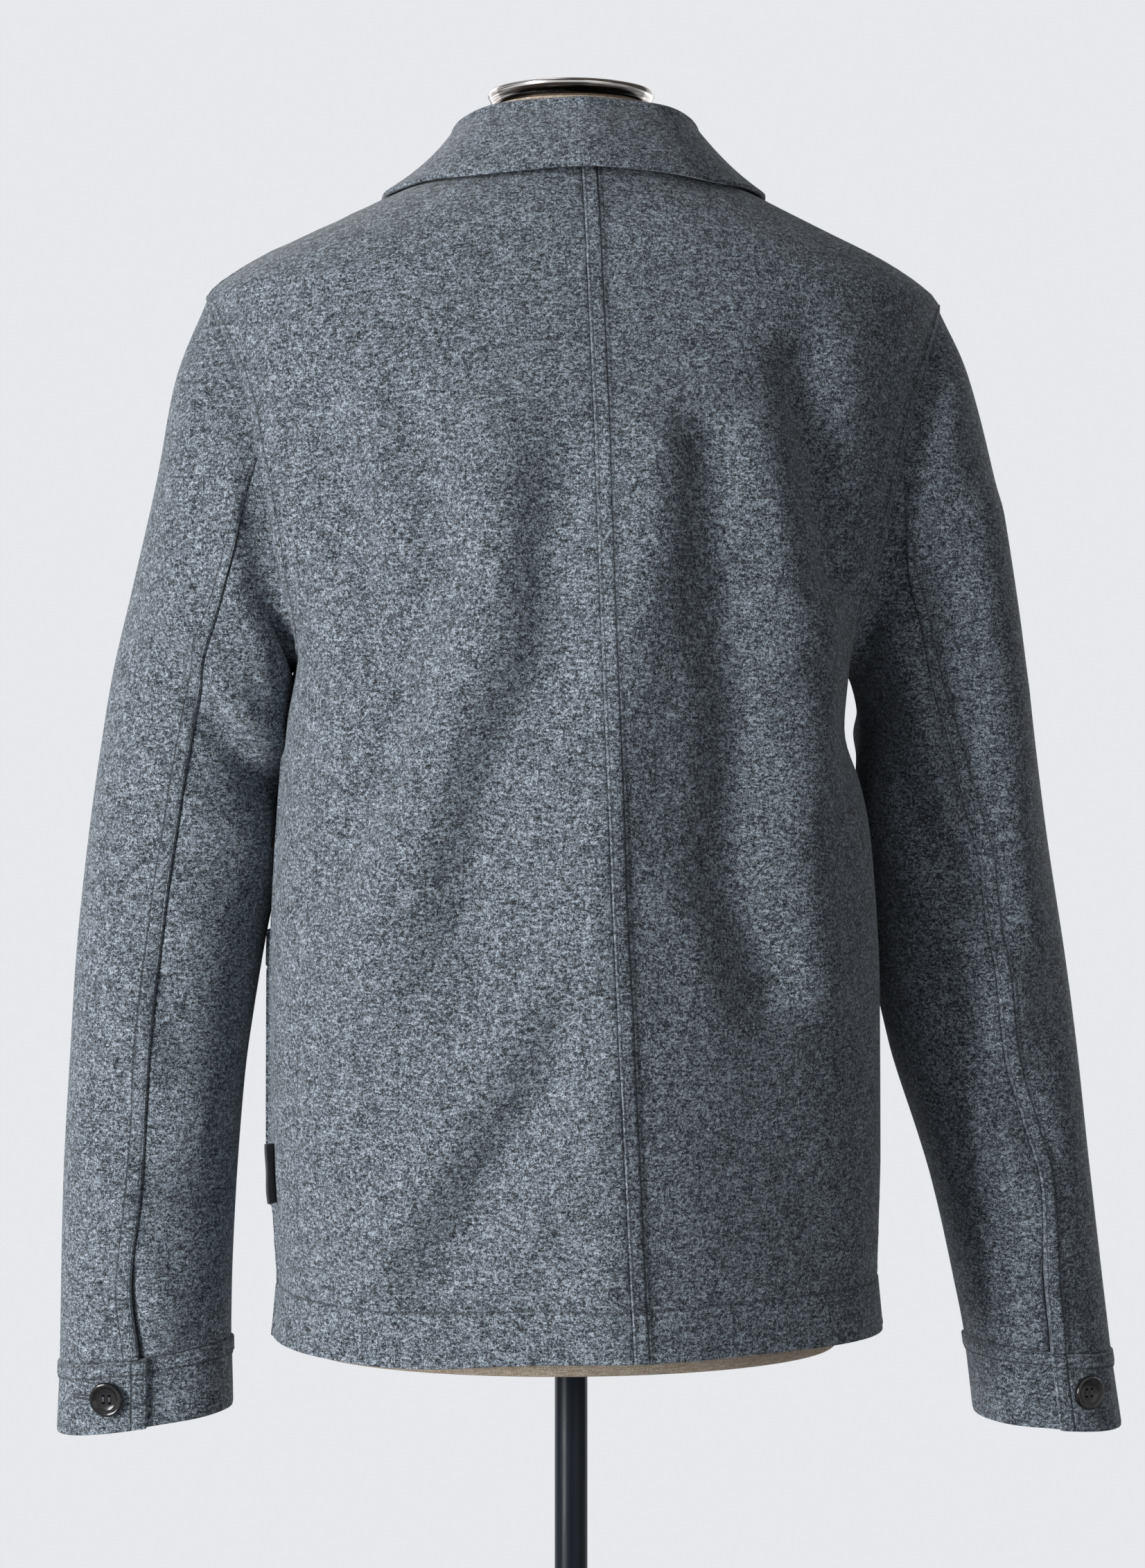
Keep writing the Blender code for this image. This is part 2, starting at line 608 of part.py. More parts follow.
def make_front_buttons(horn):
    for number, height in enumerate(FRONT_BUTTON_HEIGHTS, start=1):
        centre, out = body_point(math.pi, height, CLOTH + LAYER_GAP)
        place_button(f"front_button_{number}", centre, out, horn)


def neckline(angle):
    return body_point(angle, NECK_SIDE - neck_drop(angle))


def collar_angles():
    """Angles round the neck, on the corners of the panels' top edges."""
    angles = []
    for side in (1.0, -1.0):
        angles.append(panel_grid(side, False, [back_seam], BACK_COLUMNS)[0][-1])
        angles.append(front_grid(side, FRONT_COLUMNS)[0][-1])
    angles = np.unique(np.round(np.concatenate(angles), 6))
    apart = np.concatenate([[True], np.diff(angles) > 0.01])
    return angles[apart & (np.abs(angles) < math.pi - COLLAR_OPENING)]


def make_collar(cloth):
    """A stand from the neckline up to the fold, and a fall that comes down outside it."""
    angle = collar_angles()
    side, turn = np.sign(angle), np.degrees(np.abs(angle))
    foot, foot_out = neckline(angle)
    onward = unit(np.cross(np.gradient(foot, axis=0), foot_out))
    onward = onward * np.sign(onward[:, 2:])
    foot = foot - foot_out * COLLAR_CLOTH / 2.0 + onward * SEAM_GAP

    def station(kind):
        x = COLLAR_SHIFT + side * COLLAR.at(kind + "_x", turn)
        return np.stack([x, COLLAR.at(kind + "_y", turn), HEM + COLLAR.at(kind + "_h", turn)], axis=-1)

    fold, edge = station("fold"), station("edge")
    outward = (edge - foot) * np.array((1.0, 1.0, 0.0))
    outward = unit(outward + unit(foot * np.array((1.0, 1.0, 0.0))) * 0.02)
    rise = np.array((0.0, 0.0, 1.0))
    inside = fold - outward * COLLAR_ROLL - rise * COLLAR_ROLL
    outside = fold + outward * COLLAR_ROLL - rise * COLLAR_ROLL
    bulge = outward * COLLAR_BULGE
    profile = [
        foot,
        foot + onward * 0.0036 + (inside - foot) * 0.16,
        foot + (inside - foot) * 0.55,
        inside,
        fold - outward * COLLAR_ROLL * 0.70 - rise * COLLAR_ROLL * 0.30,
        fold,
        fold + outward * COLLAR_ROLL * 0.70 - rise * COLLAR_ROLL * 0.30,
        outside,
        outside + (edge - outside) * 0.33 + bulge,
        outside + (edge - outside) * 0.67 + bulge,
        edge,
    ]
    middle = np.array(profile)
    climb = np.gradient(middle, axis=0)
    across = np.gradient(middle, axis=1)
    out = unit(np.cross(climb, across))
    out[0] = foot_out
    add_wall("collar", middle + out * COLLAR_CLOTH / 2.0, middle - out * COLLAR_CLOTH / 2.0, cloth)


def make_pockets(cloth):
    """Patches on the fronts, close to the side seams, whose mouths stand a little off the cloth."""
    rows, columns = 7, 8
    for word, side in (("left", 1.0), ("right", -1.0)):
        up = np.linspace(0.0, 1.0, rows + 1)[:, None]
        across = np.linspace(0.0, 1.0, columns + 1)[None, :]
        corner = np.sin(math.pi * across) ** 0.35
        height = POCKET_BOTTOM + (POCKET_TOP - POCKET_BOTTOM) * up + 0.010 * (1.0 - corner) * (1.0 - up)
        near = body_angle(POCKET_NEAR, height[:, 0], front=True)[:, None]
        angle = side * (POCKET_TURN + (near - POCKET_TURN) * across)
        stand = POCKET_STAND * up**1.5 * (1.0 - (2.0 * across - 1.0) ** 4)
        lift = SEAM_GAP + CLOTH + stand + 0.0003
        shape = np.broadcast_to(angle, (rows + 1, columns + 1))
        outer, out = body_point(shape, height, lift)
        add_wall(f"{word}_pocket", outer, outer - out * CLOTH, cloth)


def make_label(ribbon):
    """A short folded ribbon that stands out of the left side seam, with nothing on it."""
    heights = LABEL_BOTTOM + np.linspace(0.0, LABEL_HEIGHT, 4)
    reach = LABEL_REACH * np.array((0.0, 0.5, 1.0))
    foot, out = body_point(LABEL_TURN, heights, LAYER_GAP)
    lean = unit(out + np.array((0.0, 1.1, 0.0)))
    middle = foot[:, None] + lean[:, None] * reach[None, :, None]
    sideways = unit(np.cross(lean, np.array((0.0, 0.0, 1.0))))[:, None]
    half = np.array((0.0010, 0.0011, 0.0006))[None, :, None]
    add_wall("side_label", middle + sideways * half, middle - sideways * half, ribbon)


def make_form(linen):
    steps = 28
    heights = np.concatenate([[FORM_FOOT, FORM_FOOT + 0.004, 0.014], np.linspace(0.060, 0.550, 9)])
    heights = np.concatenate([heights, [0.572, 0.589], FORM.column("height")[10:-1], [0.706, 0.716]])
    turn = np.linspace(0.0, 2.0 * math.pi, steps, endpoint=False)
    rings = []
    for height in heights:
        depth = np.where(np.cos(turn) >= 0.0, FORM.at("back", height), FORM.at("front", height))
        x = FORM.at("shift", height) + FORM.at("half_width", height) * np.sin(turn)
        y = FORM.at("middle", height) + depth * np.cos(turn)
        rings.append(np.stack([x, y, np.full(steps, HEM + height)], axis=-1))
    add_stack("form_torso", rings, linen)


def make_stand(chrome, steel):
    top = HEM + 0.716
    r = CAP_RADIUS
    cap = add_turned(
        "neck_cap",
        ((0.0, 0.0085), (0.88 * r, 0.0085), (r, 0.0115), (1.02 * r, 0.0090), (0.93 * r, 0.0), (0.0, 0.0)),
        chrome,
        28,
    )
    cap.location.z = top + 0.0003
    form_foot = HEM + FORM_FOOT
    pole_foot = BASE_HEIGHT + 0.0003
    length = form_foot - 0.0003 - pole_foot
    pole = add_turned(
        "stand_pole",
        (
            (0.0, length),
            (POLE_RADIUS, length),
            (POLE_RADIUS, 0.030),
            (0.020, 0.024),
            (0.026, 0.0),
            (0.0, 0.0),
        ),
        steel,
        24,
    )
    pole.location.z = pole_foot
    add_turned(
        "stand_base",
        (
            (0.0, BASE_HEIGHT),
            (BASE_RADIUS - 0.004, BASE_HEIGHT),
            (BASE_RADIUS, BASE_HEIGHT - 0.004),
            (BASE_RADIUS, 0.0),
            (0.0, 0.0),
        ),
        steel,
        40,
    )


def main():
    for leftover in list(bpy.data.objects):
        bpy.data.objects.remove(leftover, do_unlink=True)
    bpy.context.scene.collection.children.link(bpy.data.collections.new("short_coat"))
    cloth = material("melton", (0.105, 0.115, 0.130), 0.95)
    ribbon = material("ribbon", (0.008, 0.008, 0.009), 0.60)
    horn = material("horn", (0.010, 0.010, 0.011), 0.25)
    linen = material("linen", (0.520, 0.430, 0.330), 0.85)
    chrome = material("chrome", (0.750, 0.750, 0.760), 0.12, 1.0)
    steel = material("black_steel", (0.015, 0.015, 0.016), 0.35, 0.0)
    make_backs(cloth)
    make_fronts(cloth)
    make_sleeves(cloth)
    make_cuffs(cloth, horn)
    make_collar(cloth)
    make_pockets(cloth)
    make_label(ribbon)
    make_front_buttons(horn)
    make_form(linen)
    make_stand(chrome, steel)


main()
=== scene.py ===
"""The short melton coat on its dress form: folds, felled seams, stitches and finishes over its frame.

Metres, +Z up. The wearer faces -Y, so the back is at +Y and the wearer's left at +X.
"""

import math
from typing import NamedTuple

import bpy
import numpy as np
from bpy.props import FloatProperty, FloatVectorProperty, PointerProperty
from mathutils import Matrix, Vector


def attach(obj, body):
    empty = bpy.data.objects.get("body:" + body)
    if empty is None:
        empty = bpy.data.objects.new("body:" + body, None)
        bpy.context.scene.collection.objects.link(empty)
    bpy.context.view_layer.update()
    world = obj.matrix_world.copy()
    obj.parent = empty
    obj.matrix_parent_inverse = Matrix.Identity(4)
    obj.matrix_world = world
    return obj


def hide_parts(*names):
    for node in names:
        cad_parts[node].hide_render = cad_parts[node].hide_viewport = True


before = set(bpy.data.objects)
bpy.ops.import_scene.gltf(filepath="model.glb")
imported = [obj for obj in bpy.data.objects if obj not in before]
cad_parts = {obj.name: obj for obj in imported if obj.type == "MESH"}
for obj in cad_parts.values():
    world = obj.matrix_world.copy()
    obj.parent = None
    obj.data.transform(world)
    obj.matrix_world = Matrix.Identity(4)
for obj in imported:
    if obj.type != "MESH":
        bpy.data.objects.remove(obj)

bl_info = {
    "name": "Short melton coat on a dress form",
    "version": (1, 0, 0),
    "blender": (4, 5, 0),
    "location": "View3D > Sidebar > Coat",
    "description": "Dresses the solid frame of a short wool coat on its stand",
    "category": "Object",
}

# The sizes that the solid frame is built to; heights in the tables are above the hem.
# Only the linen's foot is lower than the frame's, by 6 mm, so that it shows below the hem.
HEM = 0.460
CLOTH = 0.0026
COLLAR_CLOTH = 0.0030
SEAM_GAP = 0.0004
LAYER_GAP = 0.0006
UNDERARM = 0.388
UNDERARM_HOLLOW = 0.0075
SHOULDER_TIP = 0.603
NECK_SIDE = 0.684
NECK_BEND = 0.520
BACK_SEAM_LEAN = 0.0226
HEM_TILT = 0.006
HEM_TILT_REACH = 0.350
HEM_SAG = 0.0055
HEM_SAG_PLACE = 0.100
HEM_SAG_WIDTH = 0.060
HEM_SAG_REACH = 0.160
ARMHOLE_OPENING = math.radians(26.0)
FRONT_OVERLAP = 0.020
OVERLAP_COVER = 0.024
OVERLAP_FOOT = 0.046
BUTTON_RADIUS = 0.0102
BUTTON_HEIGHT = 0.0042
BUTTON_GAP = 0.0005
FRONT_BUTTON_HEIGHTS = (0.100, 0.212, 0.324, 0.436, 0.548)
POCKET_BOTTOM = 0.066
POCKET_TOP = 0.232
POCKET_NEAR = 0.051
POCKET_TURN = math.radians(93.0)
POCKET_STAND = 0.0028
LABEL_BOTTOM = 0.0795
LABEL_HEIGHT = 0.0335
LABEL_REACH = 0.007
LABEL_TURN = math.radians(80.0)
FORM_FOOT = -0.013
POLE_RADIUS = 0.0097
BASE_RADIUS = 0.190
BASE_HEIGHT = 0.010
CAP_RADIUS = 0.0490


class Table:
    """Rows of named columns, read at any place along a smooth curve through them."""

    def __init__(self, names, *rows):
        self.names = names.split()
        self.rows = np.array(rows, float)

    def column(self, name):
        return self.rows[:, self.names.index(name)]

    def at(self, name, where):
        return curve_through(self.column(self.names[0]), self.column(name), where)


class Fold(NamedTuple):
    """A soft ridge, or a trough where the rise is negative, along a path of (across, up) points."""

    width: float
    rise: float
    path: tuple


BODY = Table(
    "height half_width back front square shift middle",
    (-0.010, 0.1772, 0.1080, 0.1490, 2.45, -0.0023, 0.022),
    (0.000, 0.1767, 0.1090, 0.1500, 2.45, -0.0023, 0.022),
    (0.022, 0.1740, 0.1090, 0.1520, 2.45, -0.0023, 0.022),
    (0.060, 0.1754, 0.1120, 0.1560, 2.45, -0.0018, 0.022),
    (0.105, 0.1774, 0.1150, 0.1610, 2.45, -0.0008, 0.022),
    (0.200, 0.1770, 0.1180, 0.1650, 2.45, -0.0006, 0.022),
    (0.272, 0.1736, 0.1195, 0.1660, 2.45, 0.0000, 0.022),
    (0.320, 0.1690, 0.1210, 0.1660, 2.45, 0.0015, 0.022),
    (0.350, 0.1655, 0.1230, 0.1640, 2.45, 0.0035, 0.021),
    (0.388, 0.1670, 0.1270, 0.1600, 2.42, 0.0015, 0.018),
    (0.420, 0.1740, 0.1310, 0.1550, 2.38, -0.0005, 0.014),
    (0.450, 0.1850, 0.1350, 0.1480, 2.30, -0.0015, 0.009),
    (0.500, 0.2000, 0.1380, 0.1330, 2.25, -0.0020, 0.003),
    (0.550, 0.2105, 0.1325, 0.1150, 2.20, -0.0025, -0.002),
    (0.585, 0.2155, 0.1240, 0.1000, 2.15, -0.0025, -0.004),
    (0.603, 0.2160, 0.1180, 0.0920, 2.10, -0.0025, -0.005),
    (0.610, 0.2095, 0.1155, 0.0890, 2.10, -0.0025, -0.005),
    (0.625, 0.1870, 0.1095, 0.0840, 2.10, -0.0025, -0.005),
    (0.642, 0.1520, 0.1010, 0.0780, 2.10, -0.0025, -0.005),
    (0.659, 0.1170, 0.0910, 0.0720, 2.10, -0.0025, -0.005),
    (0.673, 0.0900, 0.0820, 0.0670, 2.10, -0.0025, -0.005),
    (0.690, 0.0780, 0.0735, 0.0620, 2.10, -0.0025, -0.005),
)

# How far the neckline lies under the side of the neck, at angles round it from the centre back.
NECKLINE = Table(
    "angle drop",
    (0, 0.0100),
    (55, 0.0000),
    (112, 0.0000),
    (128, 0.0146),
    (155, 0.0420),
    (170, 0.0727),
    (180, 0.0840),
)

BACK_FOLDS = (
    Fold(0.06, 0.006, ((-0.02, 0.48), (-0.016, 0.3), (-0.015, 0.15), (-0.018, 0.01))),
    Fold(
        0.024,
        0.0062,
        ((0.054, 0.507), (0.051, 0.448), (0.057, 0.388), (0.083, 0.328), (0.121, 0.221)),
    ),
    Fold(0.018, -0.005, ((0.015, 0.489), (0.023, 0.448), (0.023, 0.388), (0.054, 0.328), (0.07, 0.236))),
    Fold(
        0.02,
        0.0045,
        ((-0.036, 0.507), (-0.036, 0.448), (-0.018, 0.388), (-0.004, 0.269), (-0.008, 0.038)),
    ),
    Fold(
        0.018,
        -0.0052,
        ((-0.065, 0.507), (-0.065, 0.448), (-0.079, 0.358), (-0.074, 0.269), (-0.095, 0.207)),
    ),
    Fold(
        0.02,
        0.0052,
        ((-0.091, 0.507), (-0.112, 0.448), (-0.121, 0.388), (-0.121, 0.269), (-0.131, 0.207)),
    ),
    Fold(0.02, -0.0062, ((0.151, 0.529), (0.142, 0.493), (0.132, 0.447), (0.121, 0.395))),
    Fold(0.018, -0.007, ((-0.124, 0.555), (-0.129, 0.493), (-0.138, 0.437))),
    Fold(0.018, -0.0048, ((0.012, 0.184), (0.024, 0.15), (0.055, 0.099), (0.089, 0.048))),
    Fold(0.02, 0.0044, ((0.034, 0.201), (0.06, 0.15), (0.089, 0.099), (0.114, 0.057))),
    Fold(0.016, 0.0032, ((0.001, 0.142), (0.024, 0.091), (0.043, 0.048))),
)

FRONT_FOLDS = (
    Fold(0.026, 0.0045, ((0.1250, 0.520), (0.1080, 0.430), (0.0950, 0.330))),
    Fold(0.022, -0.0045, ((0.0800, 0.500), (0.0620, 0.390), (0.0560, 0.300))),
    Fold(0.024, -0.0045, ((-0.0900, 0.510), (-0.0720, 0.400), (-0.0800, 0.280))),
    Fold(0.026, 0.0045, ((-0.1300, 0.500), (-0.1120, 0.400), (-0.1080, 0.320))),
)

# Each ring of a sleeve runs from its outer point, over the back, to its inner point and round the front.
SLEEVE_COLUMNS = "ring outer_x outer_h inner_x inner_h middle half_depth seam"
LEFT_SLEEVE = Table(
    SLEEVE_COLUMNS,
    (1, 0.2320, 0.5530, 0.1665, 0.3760, 0.004, 0.066, 108),
    (2, 0.2430, 0.4950, 0.1690, 0.3560, 0.001, 0.067, 92),
    (3, 0.2585, 0.4290, 0.1680, 0.3300, -0.010, 0.066, 88),
    (4, 0.2690, 0.3850, 0.1690, 0.3020, -0.016, 0.065, 88),
    (5, 0.2765, 0.3400, 0.1710, 0.2700, -0.018, 0.063, 87),
    (6, 0.2840, 0.2850, 0.1785, 0.2350, -0.018, 0.060, 87),
    (7, 0.2910, 0.2160, 0.1870, 0.1850, -0.017, 0.057, 87),
    (8, 0.2940, 0.1670, 0.1919, 0.1500, -0.017, 0.054, 87),
    (9, 0.2985, 0.0850, 0.1976, 0.0780, -0.018, 0.049, 87),
    (10, 0.3000, 0.0250, 0.2000, 0.0250, -0.020, 0.045, 83),
    (11, 0.3010, -0.0220, 0.2005, -0.0090, -0.023, 0.043, 88),
    (12, 0.3030, -0.0640, 0.1998, -0.0500, -0.026, 0.042, 90),
)
RIGHT_SLEEVE = Table(
    SLEEVE_COLUMNS,
    (1, 0.2345, 0.5600, 0.1665, 0.3780, 0.004, 0.066, 132),
    (2, 0.2505, 0.5000, 0.1690, 0.3600, 0.001, 0.067, 106),
    (3, 0.2640, 0.4290, 0.1705, 0.3400, -0.004, 0.066, 103),
    (4, 0.2715, 0.3800, 0.1715, 0.3150, -0.008, 0.065, 96),
    (5, 0.2785, 0.3350, 0.1745, 0.2850, -0.011, 0.063, 91),
    (6, 0.2865, 0.2820, 0.1790, 0.2500, -0.013, 0.060, 87),
    (7, 0.2975, 0.2150, 0.1845, 0.2050, -0.014, 0.056, 88),
    (8, 0.3042, 0.1670, 0.1935, 0.1620, -0.015, 0.054, 89),
    (9, 0.3140, 0.0830, 0.2190, 0.0830, -0.018, 0.051, 82),
    (10, 0.3220, 0.0180, 0.2340, 0.0190, -0.020, 0.050, 90),
    (11, 0.3275, -0.0220, 0.2410, -0.0140, -0.023, 0.049, 92),
    (12, 0.3350, -0.0680, 0.2475, -0.0620, -0.026, 0.048, 94),
)
CUFF_RING = 11
CUFF_ENDS = (52.0, 452.0)
CUFF_BUTTON_TURN = 428.0
FRONT_SEAM = 290

# The collar's fold and outer edge at angles round the neck from the centre back.
COLLAR = Table(
    "angle fold_x fold_y fold_h edge_x edge_y edge_h",
    (0, 0.0000, 0.0640, 0.7110, 0.0000, 0.0990, 0.6680),
    (45, 0.0490, 0.0430, 0.7100, 0.0750, 0.0700, 0.6640),
    (90, 0.0690, -0.0060, 0.7050, 0.1130, -0.0060, 0.6670),
    (128, 0.0660, -0.0520, 0.6900, 0.1150, -0.0720, 0.6380),
    (155, 0.0560, -0.0840, 0.6620, 0.0980, -0.0930, 0.6120),
    (170, 0.0330, -0.0990, 0.6370, 0.0760, -0.1100, 0.5780),
    (180, 0.0060, -0.1020, 0.6230, 0.0500, -0.1220, 0.5500),
)
COLLAR_SHIFT = -0.0030
COLLAR_ROLL = 0.0042
COLLAR_BULGE = 0.0015

# The dress form's own sections. Its shoulders carry the coat just under the shoulder seams.
FORM = Table(
    "height half_width back front shift middle",
    (-0.0130, 0.1560, 0.1130, 0.1000, 0.0000, 0.000),
    (-0.0090, 0.1600, 0.1170, 0.1040, 0.0000, 0.000),
    (0.0200, 0.1610, 0.1180, 0.1060, 0.0000, 0.000),
    (0.1000, 0.1580, 0.1170, 0.1080, 0.0000, 0.000),
    (0.2200, 0.1400, 0.1080, 0.1060, 0.0000, 0.000),
    (0.3200, 0.1440, 0.1140, 0.1100, 0.0000, 0.000),
    (0.4000, 0.1440, 0.1180, 0.1120, 0.0000, 0.000),
    (0.4800, 0.1500, 0.1160, 0.1060, 0.0000, 0.000),
    (0.5500, 0.1800, 0.1080, 0.0960, -0.0015, -0.003),
    (0.5850, 0.2010, 0.1000, 0.0840, -0.0025, -0.005),
    (0.6004, 0.2060, 0.0960, 0.0780, -0.0025, -0.005),
    (0.6138, 0.1990, 0.0920, 0.0720, -0.0025, -0.005),
    (0.6272, 0.1758, 0.0880, 0.0670, -0.0025, -0.005),
    (0.6407, 0.1473, 0.0830, 0.0620, -0.0025, -0.005),
    (0.6542, 0.1194, 0.0750, 0.0590, -0.0025, -0.005),
    (0.6679, 0.0820, 0.0640, 0.0550, -0.0015, -0.003),
    (0.6800, 0.0610, 0.0560, 0.0520, -0.0005, -0.001),
    (0.6940, 0.0525, 0.0520, 0.0510, 0.0000, 0.000),
    (0.7180, 0.0480, 0.0480, 0.0480, 0.0000, 0.000),
)


def curve_through(keys, values, where):
    """Values on a smooth curve through the keys, which never overshoots them."""
    gaps = np.diff(keys)
    slopes = np.diff(values) / gaps
    tangents = np.concatenate([slopes[:1], np.zeros(len(keys) - 2), slopes[-1:]])
    before, after = slopes[:-1], slopes[1:]
    same = before * after > 0.0
    tangents[1:-1][same] = 2.0 * before[same] * after[same] / (before[same] + after[same])
    where = np.clip(np.asarray(where, float), keys[0], keys[-1])
    index = np.clip(np.searchsorted(keys, where, side="right") - 1, 0, len(gaps) - 1)
    step = gaps[index]
    t = (where - keys[index]) / step
    rise = values[index + 1] - values[index]
    bend = (tangents[index] + tangents[index + 1]) * step - 2.0 * rise
    start = tangents[index] * step
    return values[index] + t * (start + t * (rise - start - bend + t * bend))


def smooth_step(value):
    t = np.clip(value, 0.0, 1.0)
    return t * t * (3.0 - 2.0 * t)


def unit(vectors):
    return vectors / np.linalg.norm(vectors, axis=-1, keepdims=True)


def fold_relief(folds, across, up):
    """Height of all the folds at each place, as soft ridges and troughs along their paths."""
    total = np.zeros(np.broadcast(across, up).shape)
    for fold in folds:
        nearest = np.full(total.shape, np.inf)
        for (x0, z0), (x1, z1) in zip(fold.path, fold.path[1:]):
            run, climb = x1 - x0, z1 - z0
            t = np.clip(((across - x0) * run + (up - z0) * climb) / (run**2 + climb**2), 0.0, 1.0)
            nearest = np.minimum(nearest, np.hypot(across - x0 - t * run, up - z0 - t * climb))
        total += fold.rise * np.exp(-((nearest / fold.width) ** 2))
    return total


def body_base(angle, height):
    """Points of the coat's body with no folds. The angle is 0 at the centre back, +90 degrees at +X."""
    power = 2.0 / BODY.at("square", height)
    across, along = np.sin(angle), np.cos(angle)
    depth = np.where(along >= 0.0, BODY.at("back", height), BODY.at("front", height))
    out = np.sign(across) * np.abs(across) ** power
    x = BODY.at("shift", height) + BODY.at("half_width", height) * out
    y = BODY.at("middle", height) + depth * np.sign(along) * np.abs(along) ** power
    tilt = HEM_TILT * smooth_step(1.0 - height / HEM_TILT_REACH)
    sag = HEM_SAG * smooth_step(1.0 - height / HEM_SAG_REACH) * smooth_step(along / 0.5)
    sag = sag * np.exp(-(((x - HEM_SAG_PLACE) / HEM_SAG_WIDTH) ** 2))
    return np.stack(np.broadcast_arrays(x, y, HEM + height - tilt * x - sag), axis=-1)


def body_normal(angle, height):
    turn, climb = 0.02, 0.002
    round_it = body_base(angle + turn, height) - body_base(angle - turn, height)
    up = body_base(angle, height + climb) - body_base(angle, height - climb)
    return unit(np.cross(up, round_it))


def body_point(angle, height, lift=0.0):
    """Points of the cloth's outer face, moved out by the lift, and the directions out of it."""
    angle, height = np.broadcast_arrays(np.asarray(angle, float), np.asarray(height, float))
    base = body_base(angle, height)
    out = body_normal(angle, height)
    behind = np.cos(angle) >= 0.0
    relief = np.where(
        behind,
        fold_relief(BACK_FOLDS, base[..., 0], height),
        fold_relief(FRONT_FOLDS, base[..., 0], height),
    )
    from_side = np.abs(np.cos(angle))
    relief = relief * smooth_step((from_side - 0.05) / 0.30)
    hollow = np.exp(-((height - UNDERARM - 0.010) / 0.036) ** 2) * (1.0 - smooth_step(from_side / 0.60))
    relief = relief - UNDERARM_HOLLOW * hollow
    return base + out * (relief + lift)[..., None], out


def body_angle(x, height, front=False):
    """The angle at which the body's section is x to the side."""
    ratio = (x - BODY.at("shift", height)) / BODY.at("half_width", height)
    turn = np.arcsin(np.sign(ratio) * np.abs(ratio) ** (BODY.at("square", height) / 2.0))
    return math.pi - turn if front else turn


def armhole_half_angle(height):
    place = 2.0 * (height - UNDERARM) / (SHOULDER_TIP - UNDERARM) - 1.0
    return ARMHOLE_OPENING * np.sqrt(np.clip(1.0 - place**2, 0.0, 1.0))


def neck_drop(angle):
    """How far the neckline lies under the side of the neck."""
    turn = np.degrees(np.abs((angle + math.pi) % (2.0 * math.pi) - math.pi))
    return NECKLINE.at("drop", turn)


def to_neckline(angle, height):
    """Lowers the upper rows so that the top one follows the neckline."""
    share = np.clip((height - NECK_BEND) / (NECK_SIDE - NECK_BEND), 0.0, 1.0)
    return height - neck_drop(angle) * share


class Pulled(NamedTuple):
    """A laid-out grid of points, the way out at each, and how far each is from its row's two ends."""

    points: np.ndarray
    out: np.ndarray
    start: np.ndarray
    end: np.ndarray


# Distances from an edge at which columns stand: beside a plain seam, and across a stitched band.
PLAIN_PLACES = (0.0, 0.0006, 0.0016, 0.0032)
BAND_WIDTH = 0.0086
EDGE_STITCH = 0.0016
BAND_PLACES = (0.0, 0.0003, 0.0007, 0.0011, 0.0016, 0.0021, 0.0030, 0.0048, 0.0066)
BAND_PLACES += (0.0076, 0.0081, 0.0086, 0.0091, 0.0097, 0.0107, 0.0125)
HEM_DEPTH = 0.030
HEM_PLACES = (0.0, 0.0005, 0.0012, 0.0024, 0.0045, 0.0285, 0.0294, 0.0300, 0.0306, 0.0315, 0.0330)

# How far the right side draws in under the arm.
UNDER_RIGHT_ARM = 0.0045

FINE_BACK_FOLDS = (
    Fold(0.050, 0.0070, ((-0.002, 0.290), (-0.006, 0.150), (-0.007, 0.005))),
    Fold(0.016, 0.0022, ((-0.066, 0.530), (-0.065, 0.450))),
    Fold(0.022, 0.0045, ((0.170, 0.510), (0.164, 0.430))),
    Fold(0.010, 0.0016, ((0.1500, 0.440), (0.1280, 0.405), (0.0960, 0.392))),
    Fold(0.009, -0.0016, ((0.1520, 0.420), (0.1270, 0.385), (0.1000, 0.368))),
    Fold(0.011, 0.0015, ((-0.1560, 0.440), (-0.1300, 0.400), (-0.1040, 0.386))),
    Fold(0.010, -0.0017, ((-0.1580, 0.418), (-0.1330, 0.380), (-0.1080, 0.362))),
    Fold(0.016, 0.0014, ((0.0900, 0.240), (0.1250, 0.180), (0.1450, 0.110))),
    Fold(0.015, -0.0014, ((0.0300, 0.250), (0.0620, 0.200), (0.1000, 0.150))),
    Fold(0.016, 0.0015, ((-0.0400, 0.260), (-0.0700, 0.190), (-0.1100, 0.130))),
    Fold(0.014, -0.0013, ((-0.0900, 0.160), (-0.1150, 0.110), (-0.1300, 0.060))),
    Fold(0.018, 0.0012, ((-0.0300, 0.120), (-0.0600, 0.075), (-0.1000, 0.040))),
    Fold(0.014, -0.0012, ((0.0450, 0.610), (0.0900, 0.600), (0.1350, 0.590))),
    Fold(
        0.013,
        -0.0052,
        ((0.1040, 0.530), (0.0840, 0.448), (0.0980, 0.388), (0.1110, 0.328), (0.1407, 0.269)),
    ),
    Fold(0.013, 0.0030, ((-0.1120, 0.510), (-0.1280, 0.460), (-0.1340, 0.400), (-0.1310, 0.320))),
    Fold(0.045, 0.0060, ((-0.0450, 0.190), (-0.0500, 0.120), (-0.0500, 0.000))),
)
